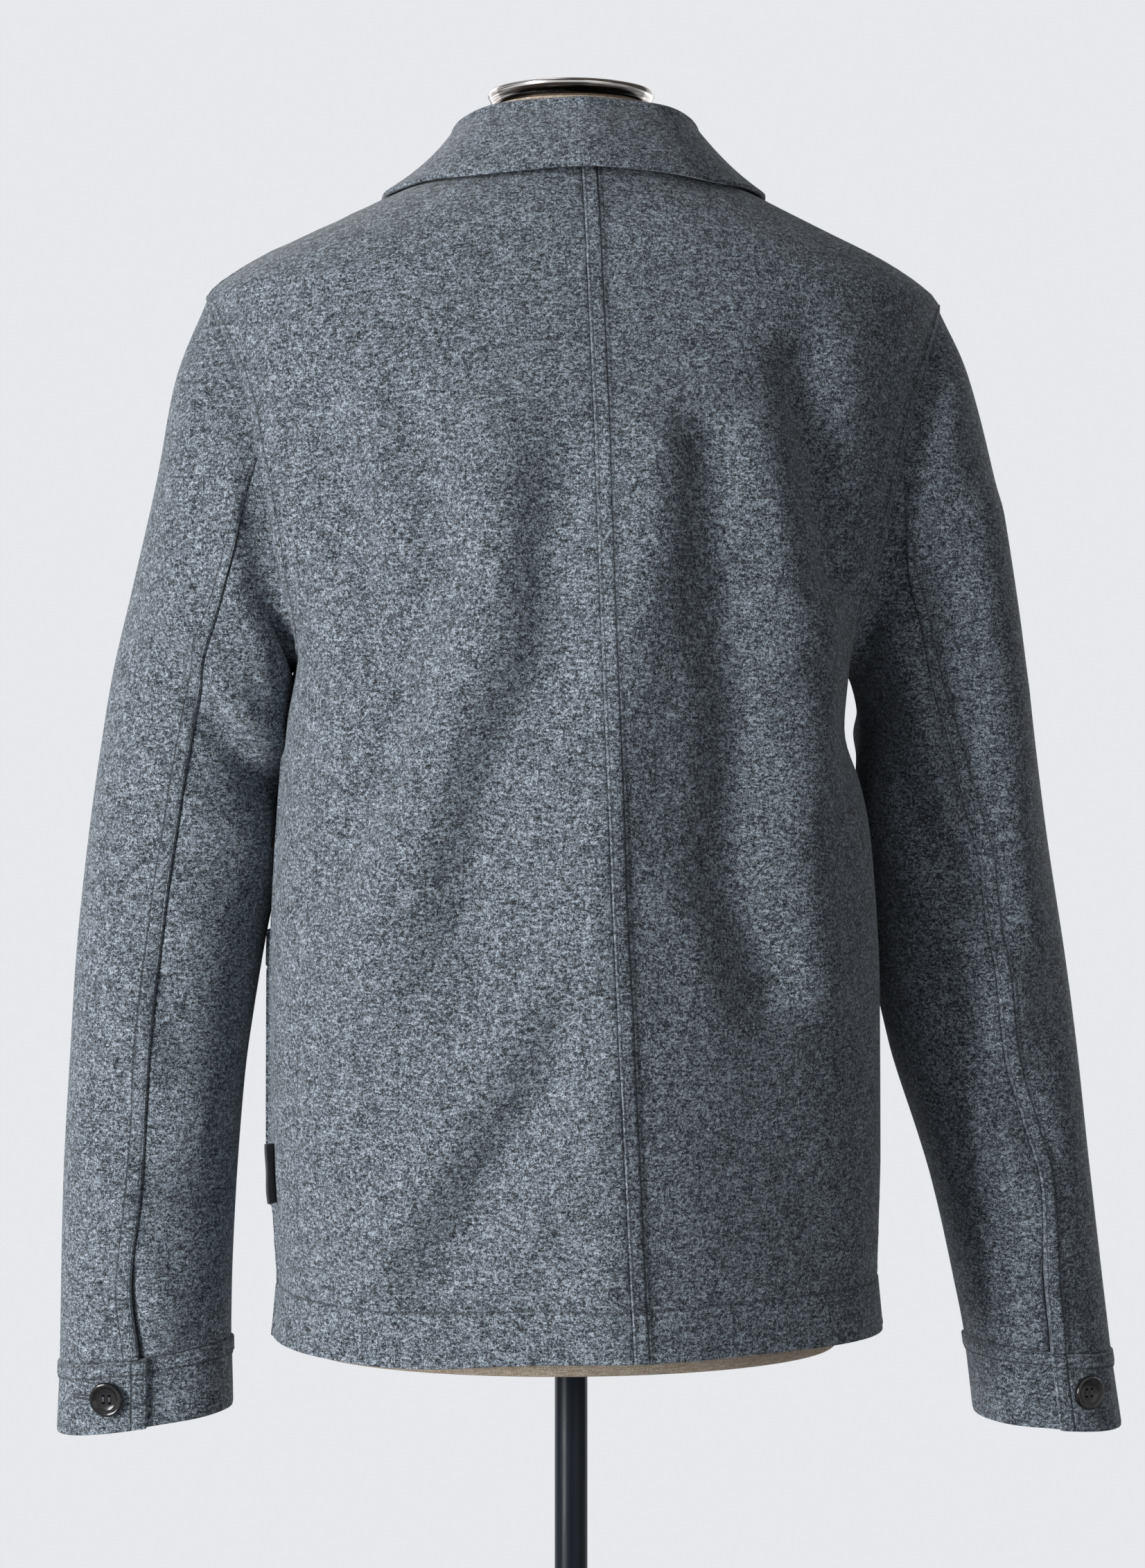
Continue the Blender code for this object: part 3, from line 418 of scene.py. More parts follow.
FINE_FRONT_FOLDS = (
    Fold(0.012, 0.0018, ((0.1480, 0.430), (0.1200, 0.395), (0.0860, 0.380))),
    Fold(0.011, -0.0018, ((0.1500, 0.410), (0.1220, 0.372), (0.0900, 0.356))),
    Fold(0.012, 0.0018, ((-0.1480, 0.430), (-0.1220, 0.396), (-0.0900, 0.384))),
    Fold(0.011, -0.0018, ((-0.1500, 0.408), (-0.1260, 0.372), (-0.0940, 0.352))),
    Fold(0.016, 0.0012, ((0.0300, 0.300), (0.0600, 0.260), (0.1100, 0.245))),
    Fold(0.014, -0.0012, ((-0.0300, 0.290), (-0.0700, 0.262), (-0.1150, 0.250))),
)

# Folds of the sleeves, along paths of (side place, height) on their backs and on their fronts.
LEFT_SLEEVE_FOLDS = (
    Fold(0.012, -0.0022, ((0.2128, 0.577), (0.2148, 0.495), (0.2189, 0.433))),
    Fold(0.010, 0.0020, ((0.1902, 0.585), (0.1964, 0.433), (0.1861, 0.392))),
    Fold(0.012, 0.0030, ((0.2330, 0.415), (0.2060, 0.372), (0.1738, 0.339))),
    Fold(0.011, -0.0032, ((0.2230, 0.385), (0.2025, 0.347), (0.1800, 0.318))),
    Fold(0.014, 0.0022, ((0.2400, 0.330), (0.2150, 0.298), (0.1850, 0.282))),
    Fold(0.014, -0.0024, ((0.2435, 0.232), (0.2435, 0.187), (0.2300, 0.150))),
    Fold(0.014, 0.0024, ((0.2540, 0.205), (0.2435, 0.167), (0.2180, 0.126))),
    Fold(0.012, -0.0018, ((0.2700, 0.130), (0.2450, 0.095), (0.2150, 0.080))),
    Fold(0.013, 0.0016, ((0.2680, 0.080), (0.2500, 0.040), (0.2350, 0.005))),
)
RIGHT_SLEEVE_FOLDS = (
    Fold(0.018, 0.0030, ((-0.2362, 0.474), (-0.2526, 0.372), (-0.2567, 0.249), (-0.2485, 0.167))),
    Fold(0.014, -0.0030, ((-0.2080, 0.430), (-0.2200, 0.370), (-0.2300, 0.300))),
    Fold(0.012, 0.0028, ((-0.1850, 0.400), (-0.2000, 0.352), (-0.2150, 0.300))),
    Fold(0.012, -0.0026, ((-0.2000, 0.300), (-0.2250, 0.262), (-0.2500, 0.235))),
    Fold(0.014, 0.0024, ((-0.2000, 0.262), (-0.2250, 0.222), (-0.2600, 0.190))),
    Fold(0.012, -0.0022, ((-0.2250, 0.180), (-0.2500, 0.140), (-0.2700, 0.110))),
    Fold(0.014, 0.0020, ((-0.2450, 0.120), (-0.2700, 0.070), (-0.2936, -0.010))),
    Fold(0.013, -0.0018, ((-0.2600, 0.060), (-0.2800, 0.030), (-0.3000, 0.010))),
)
SLEEVE_FRONT_FOLDS = (
    Fold(0.014, 0.0030, ((0.2450, 0.400), (0.2150, 0.370), (0.1780, 0.350))),
    Fold(0.012, -0.0030, ((0.2500, 0.360), (0.2200, 0.330), (0.1820, 0.315))),
    Fold(0.014, 0.0032, ((0.2600, 0.300), (0.2300, 0.280), (0.1900, 0.272))),
    Fold(0.012, -0.0032, ((0.2650, 0.262), (0.2350, 0.240), (0.1950, 0.235))),
    Fold(0.014, 0.0028, ((0.2800, 0.225), (0.2500, 0.198), (0.2050, 0.195))),
    Fold(0.013, -0.0022, ((0.2800, 0.160), (0.2550, 0.130), (0.2200, 0.120))),
)


def coat_size(name):
    """Return one of the coat's sizes, without the tail that single precision adds to it."""
    return round(getattr(bpy.context.scene.coat_sizes, name), 6)


class Wire:
    """A socket's value that takes part in Python expressions, each of which adds its Math node."""

    def __init__(self, finish, socket):
        self.finish = finish
        self.socket = socket

    def maths(self, operation, *values):
        inputs = {place: value for place, value in enumerate(values)}
        return self.finish.add("ShaderNodeMath", {"operation": operation}, inputs)

    def __add__(self, other):
        return self.maths("ADD", self, other)

    def __sub__(self, other):
        return self.maths("SUBTRACT", self, other)

    def __rsub__(self, other):
        return self.maths("SUBTRACT", other, self)

    def __mul__(self, other):
        return self.maths("MULTIPLY", self, other)

    def __truediv__(self, other):
        return self.maths("DIVIDE", self, other)

    def __pow__(self, other):
        return self.maths("POWER", self, other)

    __radd__ = __add__
    __rmul__ = __mul__

    def clipped(self):
        return self.finish.add(
            "ShaderNodeMath", {"operation": "MULTIPLY", "use_clamp": True}, {0: self, 1: 1.0}
        )


class Finish:
    """A procedural material, built from one method that adds any node."""

    def __init__(self, name, **fixed):
        self.material = bpy.data.materials.new(name)
        self.material.use_nodes = True
        self.nodes = self.material.node_tree.nodes
        self.links = self.material.node_tree.links
        self.shader = self.nodes["Principled BSDF"]
        for socket, value in fixed.items():
            label = socket.replace("_", " ").title().replace("Ior", "IOR")
            self.shader.inputs[label].default_value = value
        self.place = self.add("ShaderNodeTexCoord", {}, {}, "Object")

    def add(self, kind, settings, inputs, output=0):
        """Adds a node with its settings first and then its sockets' values or links."""
        node = self.nodes.new(kind)
        for name, value in settings.items():
            setattr(node, name, value)
        for name, value in inputs.items():
            self.feed(node.inputs[name], value)
        return Wire(self, node.outputs[output])

    def feed(self, socket, value):
        if isinstance(value, Wire):
            self.links.new(value.socket, socket)
        else:
            socket.default_value = value

    def scaled(self, scale):
        return self.add("ShaderNodeVectorMath", {"operation": "MULTIPLY"}, {0: self.place, 1: scale})

    def noise(self, scale, detail=2.0, roughness=0.5, vector=None):
        inputs = {
            "Vector": vector or self.place,
            "Scale": scale,
            "Detail": detail,
            "Roughness": roughness,
        }
        return self.add("ShaderNodeTexNoise", {}, inputs, "Fac")

    def spread(self, value, low, high, to_low=0.0, to_high=1.0):
        inputs = {"Value": value, "From Min": low, "From Max": high, "To Min": to_low, "To Max": to_high}
        return self.add("ShaderNodeMapRange", {"interpolation_type": "SMOOTHSTEP"}, inputs, "Result")

    def blend(self, mask, first, second):
        """A colour between two others. In the Mix node, sockets 6 and 7 are its colours."""
        settings = {"data_type": "RGBA", "clamp_factor": True}
        colours = [value if isinstance(value, Wire) else (*value, 1.0) for value in (first, second)]
        return self.add("ShaderNodeMix", settings, {0: mask, 6: colours[0], 7: colours[1]}, 2)

    def own(self, attribute):
        return self.add("ShaderNodeAttribute", {"attribute_name": attribute}, {}, "Fac")

    def colour(self, value):
        self.feed(self.shader.inputs["Base Color"], value)

    def roughness(self, value):
        self.feed(self.shader.inputs["Roughness"], value)

    def bump(self, height, distance, strength=1.0):
        inputs = {"Height": height, "Distance": distance, "Strength": strength}
        made = self.add("ShaderNodeBump", {}, inputs, "Normal")
        self.feed(self.shader.inputs["Normal"], made)


def wool_finish(choices):
    """Brushed melton of pale and dark fibres, with faint lines across where the weft lies."""
    wool = Finish("brushed_melange", sheen_weight=0.25, sheen_roughness=0.45, specular_ior_level=0.12)
    fibre = wool.noise(1250.0, 3.0, 0.75)
    clump = wool.noise(520.0, 3.0, 0.65, wool.scaled((0.9, 0.9, 1.1)))
    weft = wool.noise(1.0, 2.0, 0.6, wool.scaled((170.0, 170.0, 760.0)))
    cloud = wool.noise(130.0, 3.0, 0.6)
    grain = fibre * 0.52 + clump * 0.34 + weft * 0.14
    tone = ((grain - 0.5) * 6.0 + (cloud - 0.5) * 0.55 + 0.49).clipped()
    grey = wool.blend(tone * tone, choices.wool_dark, choices.wool_pale)
    blue = wool.spread(wool.noise(560.0, 2.0, 0.6), 0.52, 0.64)
    mixed = wool.blend(blue * 0.35, grey, choices.wool_blue)
    pale = wool.spread(wool.noise(820.0, 2.0, 0.7, wool.scaled((1.0, 1.0, 1.5))), 0.60, 0.68)
    flecked = wool.blend(pale * 0.40, mixed, choices.wool_pale)
    # Painted shade: the point attribute "shade" darkens the wool toward the seam shade colour in grooves,
    # under band edges and in the cuff vents, where shade falls.
    wool.colour(wool.blend(wool.own("shade"), flecked, choices.painted_seam_shade))
    wool.roughness(wool.spread(fibre, 0.3, 0.7, 0.86, 0.98))
    wool.bump(fibre * 0.55 + clump * 0.45, 0.0011, 0.8)
    return wool.material


def thread_finish(choices):
    thread = Finish("sewing_thread", specular_ior_level=0.3)
    twist = thread.noise(2600.0, 1.0)
    thread.colour(thread.blend(twist, choices.thread_dark, choices.thread_pale))
    thread.roughness(thread.spread(twist, 0.3, 0.7, 0.6, 0.8))
    thread.bump(twist, 0.0002, 0.5)
    return thread.material


def horn_finish(choices):
    horn = Finish("black_horn", coat_weight=0.15, coat_roughness=0.06, specular_ior_level=0.28)
    veins = horn.noise(1.0, 3.0, 0.6, horn.scaled((90.0, 90.0, 420.0)))
    horn.colour(horn.blend(horn.spread(veins, 0.45, 0.75), choices.horn, choices.horn_vein))
    horn.roughness(horn.spread(horn.noise(260.0), 0.3, 0.7, 0.12, 0.24))
    horn.bump(horn.noise(520.0, 2.0), 0.0001, 0.25)
    return horn.material


def linen_finish(choices):
    """Plain-woven linen with slubs both ways."""
    linen = Finish("undyed_linen", sheen_weight=0.15, specular_ior_level=0.2)
    across = linen.noise(1.0, 2.0, 0.6, linen.scaled((160.0, 160.0, 1900.0)))
    along = linen.noise(1.0, 2.0, 0.6, linen.scaled((1500.0, 1500.0, 110.0)))
    slubs = linen.spread(across * 0.5 + along * 0.5, 0.36, 0.64)
    linen.colour(linen.blend(slubs, choices.linen_dark, choices.linen_pale))
    linen.roughness(linen.spread(slubs, 0.0, 1.0, 0.94, 0.84))
    linen.bump(slubs, 0.0004, 0.7)
    return linen.material


def chrome_finish():
    """Chrome with painted reflections: its colour swaps in bands between a dark room and bright streaks,
    and its roughness follows the turning marks.
    """
    chrome = Finish("turned_chrome", metallic=1.0)
    turning_marks_and_painted_reflection = chrome.noise(1.0, 3.0, 0.6, chrome.scaled((14.0, 14.0, 620.0)))
    painted_mirror_bands = chrome.spread(turning_marks_and_painted_reflection, 0.46, 0.66)
    # Painted reflection: the dark room and the bright streaks are put into the base colour, in bands
    # along the turning.
    chrome.colour(chrome.blend(painted_mirror_bands, (0.045, 0.036, 0.030), (0.62, 0.60, 0.58)))
    chrome.roughness(chrome.spread(turning_marks_and_painted_reflection, 0.3, 0.7, 0.10, 0.20))
    return chrome.material


def steel_finish():
    steel = Finish("satin_black_steel", specular_ior_level=0.12)
    drawn = steel.noise(1.0, 3.0, 0.6, steel.scaled((900.0, 900.0, 18.0)))
    steel.colour(steel.blend(drawn, (0.003, 0.005, 0.008), (0.010, 0.014, 0.021)))
    steel.roughness(steel.spread(drawn, 0.3, 0.7, 0.26, 0.42))
    steel.bump(steel.noise(1400.0), 0.0001, 0.3)
    return steel.material


def ribbon_finish():
    ribbon = Finish("black_ribbon", sheen_weight=0.2)
    ribs = ribbon.noise(1.0, 1.0, 0.5, ribbon.scaled((300.0, 300.0, 2600.0)))
    ribbon.colour(ribbon.blend(ribs, (0.006, 0.006, 0.007), (0.030, 0.031, 0.034)))
    ribbon.roughness(ribbon.spread(ribs, 0.3, 0.7, 0.5, 0.7))
    ribbon.bump(ribs, 0.0003, 0.6)
    return ribbon.material


def finish_called(name):
    return bpy.data.materials[name]


def add_piece(name, points, faces, look, smooth=60.0):
    """A mesh that rides on the coat's one body and takes the finish of the given name."""
    mesh = bpy.data.meshes.new(name)
    mesh.from_pydata(np.asarray(points).tolist(), [], faces)
    mesh.shade_smooth()
    mesh.set_sharp_from_angle(angle=math.radians(smooth))
    mesh.materials.append(finish_called(look))
    made = bpy.data.objects.new(name, mesh)
    bpy.context.scene.collection.objects.link(made)
    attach(made, "root")
    return made


def grid_faces(rows, columns, start=0, closed=False):
    """Quads of a grid of points, row by row."""
    across = np.arange(columns if closed else columns - 1)
    low = start + np.arange(rows - 1)[:, None] * columns
    here, after = low + across, low + (across + 1) % columns
    return np.stack([here, after, after + columns, here + columns], axis=-1).reshape(-1, 4)


def cloth_wall(name, outer, inner, shade=None, look="brushed_melange", round_off=0.0005):
    """A closed wall of cloth between two grids of points, with a rounded rim."""
    rows, columns = outer.shape[:2]
    count = rows * columns
    down, along = np.arange(rows), np.arange(columns)
    border = np.concatenate(
        [
            np.stack([np.zeros(columns, int), along], axis=1),
            np.stack([down[1:], np.full(rows - 1, columns - 1)], axis=1),
            np.stack([np.full(columns - 1, rows - 1), along[-2::-1]], axis=1),
            np.stack([down[-2:0:-1], np.zeros(rows - 2, int)], axis=1),
        ]
    )
    row, column = border.T
    inside = outer[np.clip(row, 1, rows - 2), np.clip(column, 1, columns - 2)]
    edge = (outer[row, column] + inner[row, column]) / 2.0
    away = unit(outer[row, column] - inside)
    rim = edge + away * round_off
    points = np.concatenate([outer.reshape(-1, 3), inner.reshape(-1, 3), rim])
    front = grid_faces(rows, columns)
    back = grid_faces(rows, columns, count)[:, ::-1]
    here = row * columns + column
    after = np.roll(here, -1)
    middle = 2 * count + np.arange(len(here))
    onward = np.roll(middle, -1)
    upper = np.stack([after, here, middle, onward], axis=1)
    lower = np.stack([onward, middle, here + count, after + count], axis=1)
    faces = np.concatenate([front, back, upper, lower])
    a, b, c, d = (points[faces[:, corner]] for corner in range(4))
    volume = np.einsum("ij,ij->", a, np.cross(b, c)) + np.einsum("ij,ij->", a, np.cross(c, d))
    if volume < 0.0:
        faces = faces[:, ::-1]
    made = add_piece(name, points, faces.tolist(), look)
    # The point attribute "shade" holds painted shade, which darkens the wool's colour in grooves, seams
    # and under edges.
    values = np.zeros(len(points), np.float32)
    if shade is not None:
        values[:count] = shade.reshape(-1)
    made.data.attributes.new("shade", "FLOAT", "POINT").data.foreach_set("value", values)
    return made


def cut_of(outer):
    """Width, length and area that the cloth was cut to, from what shows of it."""
    across = np.linalg.norm(np.diff(outer, axis=1), axis=2).sum(axis=1).max()
    along = np.linalg.norm(np.diff(outer, axis=0), axis=2).sum(axis=0).max()
    a, b = outer[1:, :-1] - outer[:-1, :-1], outer[:-1, 1:] - outer[:-1, :-1]
    area = np.linalg.norm(np.cross(a, b), axis=2).sum()
    return (float(across), float(along)), float(min(area, across * along))


def declare_cloth(outer):
    flat, area = cut_of(outer)


def lay_out(points, out, near, far, step):
    """Columns at set distances from a surface's two edges, and evenly spread between them."""
    run = np.linalg.norm(np.diff(points, axis=1), axis=2)
    run = np.concatenate([np.zeros((len(points), 1)), np.cumsum(run, axis=1)], axis=1)
    total = run[:, -1:]
    count = max(2, int(np.ceil((total.max() - near[-1] - far[-1]) / step)))
    first = np.broadcast_to(near, (len(points), len(near)))
    last = total - np.array(far)[::-1]
    squeeze = np.minimum(1.0, total / (near[-1] + far[-1] + step))
    first, last = first * squeeze, total - (total - last) * squeeze
    share = np.linspace(0.0, 1.0, count + 1)[1:-1]
    middle = first[:, -1:] + (last[:, :1] - first[:, -1:]) * share
    where = np.concatenate([first, middle, last], axis=1)
    fields = np.concatenate([points, out], axis=2)
    laid = np.empty((*where.shape, fields.shape[2]))
    for row in range(len(points)):
        for field in range(fields.shape[2]):
            laid[row, :, field] = np.interp(where[row], run[row], fields[row, :, field])
    return Pulled(laid[..., :3], unit(laid[..., 3:6]), where, total - where)


def dip(distance, place, width, depth):
    return depth * np.exp(-(((distance - place) / width) ** 2))


def band(distance, rise=None):
    """A felled seam: the cloth rises over its turned edge, with a row of stitches along each side."""
    rise = coat_size("band_rise") if rise is None else rise
    past_width = smooth_step((distance - BAND_WIDTH) / 0.0024)
    raised = rise * smooth_step(distance / 0.0008) * (1.0 - past_width)
    grooves = dip(distance, BAND_WIDTH, 0.0006, coat_size("groove_depth"))
    grooves = grooves + dip(distance, EDGE_STITCH, 0.0004, 0.0003)
    return raised + 0.0002 - grooves


def band_shade(distance):
    """Painted shade: how much the cloth's colour is darkened in a band's grooves and under its edge,
    where shade falls.
    """
    return dip(distance, BAND_WIDTH, 0.0006, 0.75) + dip(distance, EDGE_STITCH, 0.0004, 0.45)


def tucked(distance):
    """The lower side of a seam, which dips under the band beside it."""
    return -dip(distance, 0.0, 0.0010, 0.0006)


# Painted shade where the cloth dips under the band beside it.
def tucked_shade(distance):
    return dip(distance, 0.0, 0.0007, 0.8)


def pucker(along, size=0.00014):
    """A slight gathering along a row of stitches."""
    return size * (np.sin(along * 610.0) + 0.7 * np.sin(along * 937.0 + 1.3))


def stitches(
    name, rows, look="sewing_thread", pitch=0.0032, length=0.0023, radius=0.00021
):
    """Rows of stitches, each row given as points on the cloth and the ways out of it."""
    turn = np.linspace(0.0, 2.0 * math.pi, 6, endpoint=False)
    centres, fronts, ups = [], [], []
    for points, out in rows:
        run = np.concatenate([[0.0], np.cumsum(np.linalg.norm(np.diff(points, axis=0), axis=1))])
        where = np.arange(pitch / 2.0, run[-1], pitch)
        at = np.stack([np.interp(where, run, points[:, axis]) for axis in range(3)], axis=1)
        ahead = np.stack([np.interp(where + 0.0003, run, points[:, axis]) for axis in range(3)], axis=1)
        way = np.stack([np.interp(where, run, out[:, axis]) for axis in range(3)], axis=1)
        centres.append(at)
        fronts.append(unit(ahead - at + 1e-12))
        ups.append(unit(way))
    centre, front, up = (np.concatenate(parts)[:, None] for parts in (centres, fronts, ups))
    side = unit(np.cross(front, up))
    layers = []
    for share, girth in ((-0.5, 0.0), (-0.32, 0.9), (0.0, 1.0), (0.32, 0.9), (0.5, 0.0)):
        ring = side * np.cos(turn)[None, :, None] + up * np.sin(turn)[None, :, None]
        arch = radius * (0.55 - 2.6 * share**2)
        layers.append(centre + front * length * share + up * arch + ring * radius * girth)
    points = np.stack(layers, axis=1)
    single = grid_faces(5, 6, 0, closed=True)
    starts = np.arange(len(points)) * 30
    faces = (single[None] + starts[:, None, None]).reshape(-1, 4)
    return add_piece(name, points.reshape(-1, 3), faces.tolist(), look)


def body_surface(start, edge, heights, lift=None):
    """A dense piece of the coat's body between two lines of angles, with its folds."""
    share = np.linspace(0.0, 1.0, 240)
    angle = start[:, None] + (edge - start)[:, None] * share
    height = to_neckline(angle, heights[:, None])
    base = body_base(angle, height)
    x = base[..., 0]
    behind = np.cos(angle) >= 0.0
    large = np.where(behind, fold_relief(BACK_FOLDS, x, height), fold_relief(FRONT_FOLDS, x, height))
    fine_back = fold_relief(FINE_BACK_FOLDS, x, height)
    fine = np.where(behind, fine_back, fold_relief(FINE_FRONT_FOLDS, x, height))
    large = large * coat_size("fold_depth")
    extra = (large + fine) * smooth_step((np.abs(np.cos(angle)) - 0.02) / 0.20)
    right_side = smooth_step((-np.sin(angle) - 0.75) / 0.25)
    extra = extra - UNDER_RIGHT_ARM * right_side * np.exp(-(((height - 0.345) / 0.028) ** 2))
    if lift is not None:
        extra = extra + lift(base[..., 0])
    return body_point(angle, height, extra)


def cloth_heights():
    """Rows of the body's cloth, close together at the hem, its stitches and the neckline."""
    skirt = np.concatenate([HEM_PLACES, np.arange(0.038, UNDERARM - 0.002, 0.0052)])
    turn = np.linspace(math.pi, 0.0, 58)
    armhole = UNDERARM + (SHOULDER_TIP - UNDERARM) * (1.0 + np.cos(turn)) / 2.0
    shoulder = np.concatenate([np.arange(SHOULDER_TIP + 0.004, NECK_SIDE - 0.004, 0.0045)])
    neck = NECK_SIDE - np.array((0.0035, 0.0016, 0.0006, 0.0))
    return np.concatenate([skirt, armhole, shoulder, neck])


def hem_relief(height):
    """The hem's turned-up cloth makes it a little thicker, down from its row of stitches."""
    thick = 0.0007 * (1.0 - smooth_step((height - HEM_DEPTH) / 0.0018))
    return thick - dip(height, HEM_DEPTH, 0.0007, coat_size("groove_depth"))


def drape_panel(name, node, surface, heights, centre_band, side_band, free_edge=False):
    """One panel of the body over its solid, with its bands, hem and stitches."""
    points, out = surface
    near = BAND_PLACES if centre_band or free_edge else PLAIN_PLACES
    far = BAND_PLACES if side_band else PLAIN_PLACES
    laid = lay_out(points, out, near, far, 0.0042)
    height = heights[:, None]
    armhole = smooth_step((height - UNDERARM + 0.004) / 0.012) * (height < SHOULDER_TIP + 0.002)
    relief = hem_relief(height) + np.zeros_like(laid.start)
    # Painted shade: the wool is darkened in the hem's stitch groove, and below along the bands and the
    # tucked edges.
    shade = dip(height, HEM_DEPTH, 0.0007, 0.6) + np.zeros_like(laid.start)
    rows = [(HEM_PLACES.index(HEM_DEPTH), None)]
    if centre_band:
        relief = relief + band(laid.start) + pucker(height) * dip(laid.start, 0.010, 0.008, 1.0)
        shade = shade + band_shade(laid.start)
        rows += [(None, BAND_PLACES.index(BAND_WIDTH)), (None, BAND_PLACES.index(EDGE_STITCH))]
    elif free_edge:
        relief = relief - dip(laid.start, 0.0066, 0.0006, coat_size("groove_depth"))
        # Painted shade in the front edge's stitch groove.
        shade = shade + dip(laid.start, 0.0066, 0.0006, 0.5)
        rows += [(None, BAND_PLACES.index(0.0066))]
    else:
        relief = relief + tucked(laid.start)
        shade = shade + tucked_shade(laid.start)
    if side_band:
        weight = armhole if side_band == "armhole" else 1.0
        relief = relief + band(laid.end) * weight + pucker(height) * dip(laid.end, 0.010, 0.008, 1.0)
        shade = shade + band_shade(laid.end) * weight
    else:
        relief = relief + tucked(laid.end)
        shade = shade + tucked_shade(laid.end)
    outer = laid.points + laid.out * relief[..., None]
    inner = laid.points - laid.out * CLOTH
    cloth = cloth_wall(name, outer, inner, np.clip(shade, 0.0, 1.0))
    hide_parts(node)
    lines = []
    for row, column in rows:
        place = (row, slice(2, -2)) if column is None else (slice(0, -1), column)
        lines.append((outer[place], laid.out[place]))
    if side_band:
        chosen = (height[:, 0] >= UNDERARM) if side_band == "armhole" else np.full(len(heights), True)
        for place in (BAND_WIDTH, EDGE_STITCH):
            column = outer.shape[1] - 1 - BAND_PLACES.index(place)
            lines.append((outer[chosen, column], laid.out[chosen, column]))
    sewn = stitches(f"{name}_stitches", lines)
    declare_cloth(outer)


def dress_backs():
    heights = cloth_heights()
    lowered = to_neckline(0.0, heights)
    for word, side in (("left", 1.0), ("right", -1.0)):
        start = body_angle(back_seam(lowered), lowered)
        edge = side * (math.pi / 2.0 - armhole_half_angle(heights))
        surface = body_surface(start, edge, heights)
        drape_panel(f"back_{word}_cloth", f"back_{word}", surface, heights, side < 0.0, "all")


def dress_fronts():
    heights = cloth_heights()
    lowered = to_neckline(math.pi, heights)
    for word, side in (("left", 1.0), ("right", -1.0)):
        start = body_angle(np.full_like(lowered, -side * FRONT_OVERLAP), lowered, front=True)
        if side < 0.0:
            start = start - 2.0 * math.pi
        edge = side * (math.pi / 2.0 + armhole_half_angle(heights))
        surface = body_surface(start, edge, heights, lambda x, side=side: front_lift(x, side))
        drape_panel(f"front_{word}_cloth", f"front_{word}", surface, heights, False, "armhole", True)


def back_seam(height):
    """Side place of the centre back seam, which leans towards the wearer's right."""
    return -BACK_SEAM_LEAN * np.clip(1.0 - height / 0.67, 0.0, 1.0) ** 1.8


def front_lift(x, side):
    """The left front lies on the right one where they overlap, and comes down beside it."""
    if side < 0.0:
        return np.zeros_like(x)
    cover = 1.0 - smooth_step((x - OVERLAP_COVER) / (OVERLAP_FOOT - OVERLAP_COVER))
    return (CLOTH + LAYER_GAP) * cover


# Columns of a sleeve that follow its back and front seams, counted round from one armhole point.
SLEEVE_COLUMNS_ROUND = 22.0
BACK_SEAM_COLUMN = 5.0
FRONT_SEAM_COLUMN = 18.0


def sleeve_control(table, side, turn):
    """The rings that shape a sleeve, the first on the armhole, at the turns given for each ring."""
    place = UNDERARM + (SHOULDER_TIP - UNDERARM) * (1.0 + np.cos(turn[0])) / 2.0
    opening = ARMHOLE_OPENING * np.sin(turn[0])
    first, first_out = body_point(side * (math.pi / 2.0 - opening), place)
    rings = [first]
    for row, angle in zip(table.rows, turn[1:]):
        named = dict(zip(table.names, row))
        outer = np.array((side * named["outer_x"], 0.0, HEM + named["outer_h"]))
        inner = np.array((side * named["inner_x"], 0.0, HEM + named["inner_h"]))
        across, behind = np.cos(angle), np.sin(angle)
        power = 2.0 / 2.15
        reach = np.sign(across) * np.abs(across) ** power
        depth = named["middle"] + named["half_depth"] * np.sign(behind) * np.abs(behind) ** power
        ring = (outer + inner) / 2.0 + reach[:, None] * (outer - inner) / 2.0
        ring[:, 1] += depth
        rings.append(ring)
    return np.array(rings), first_out


def sleeve_turns(table, columns):
    """Turns of the columns at each control ring, so that two columns follow the long seams."""
    seams = np.radians(np.concatenate([[75.0], table.column("seam")]))
    start = np.array([0.0, BACK_SEAM_COLUMN, FRONT_SEAM_COLUMN, SLEEVE_COLUMNS_ROUND])
    turns = []
    for ring, seam in enumerate(seams):
        armhole = start / SLEEVE_COLUMNS_ROUND * 2.0 * math.pi
        target = np.array([0.0, seam, math.radians(FRONT_SEAM), 2.0 * math.pi])
        blend = min(ring / 2.0, 1.0)
        turns.append(np.interp(columns, start, armhole + (target - armhole) * blend))
    return np.array(turns)


def along_rings(control, places):
    """Points on smooth curves through the control rings, column by column."""
    keys = np.arange(len(control), dtype=float)
    grid = np.empty((len(places), control.shape[1], 3))
    for column in range(control.shape[1]):
        for axis in range(3):
            grid[:, column, axis] = curve_through(keys, control[:, column, axis], places)
    return grid


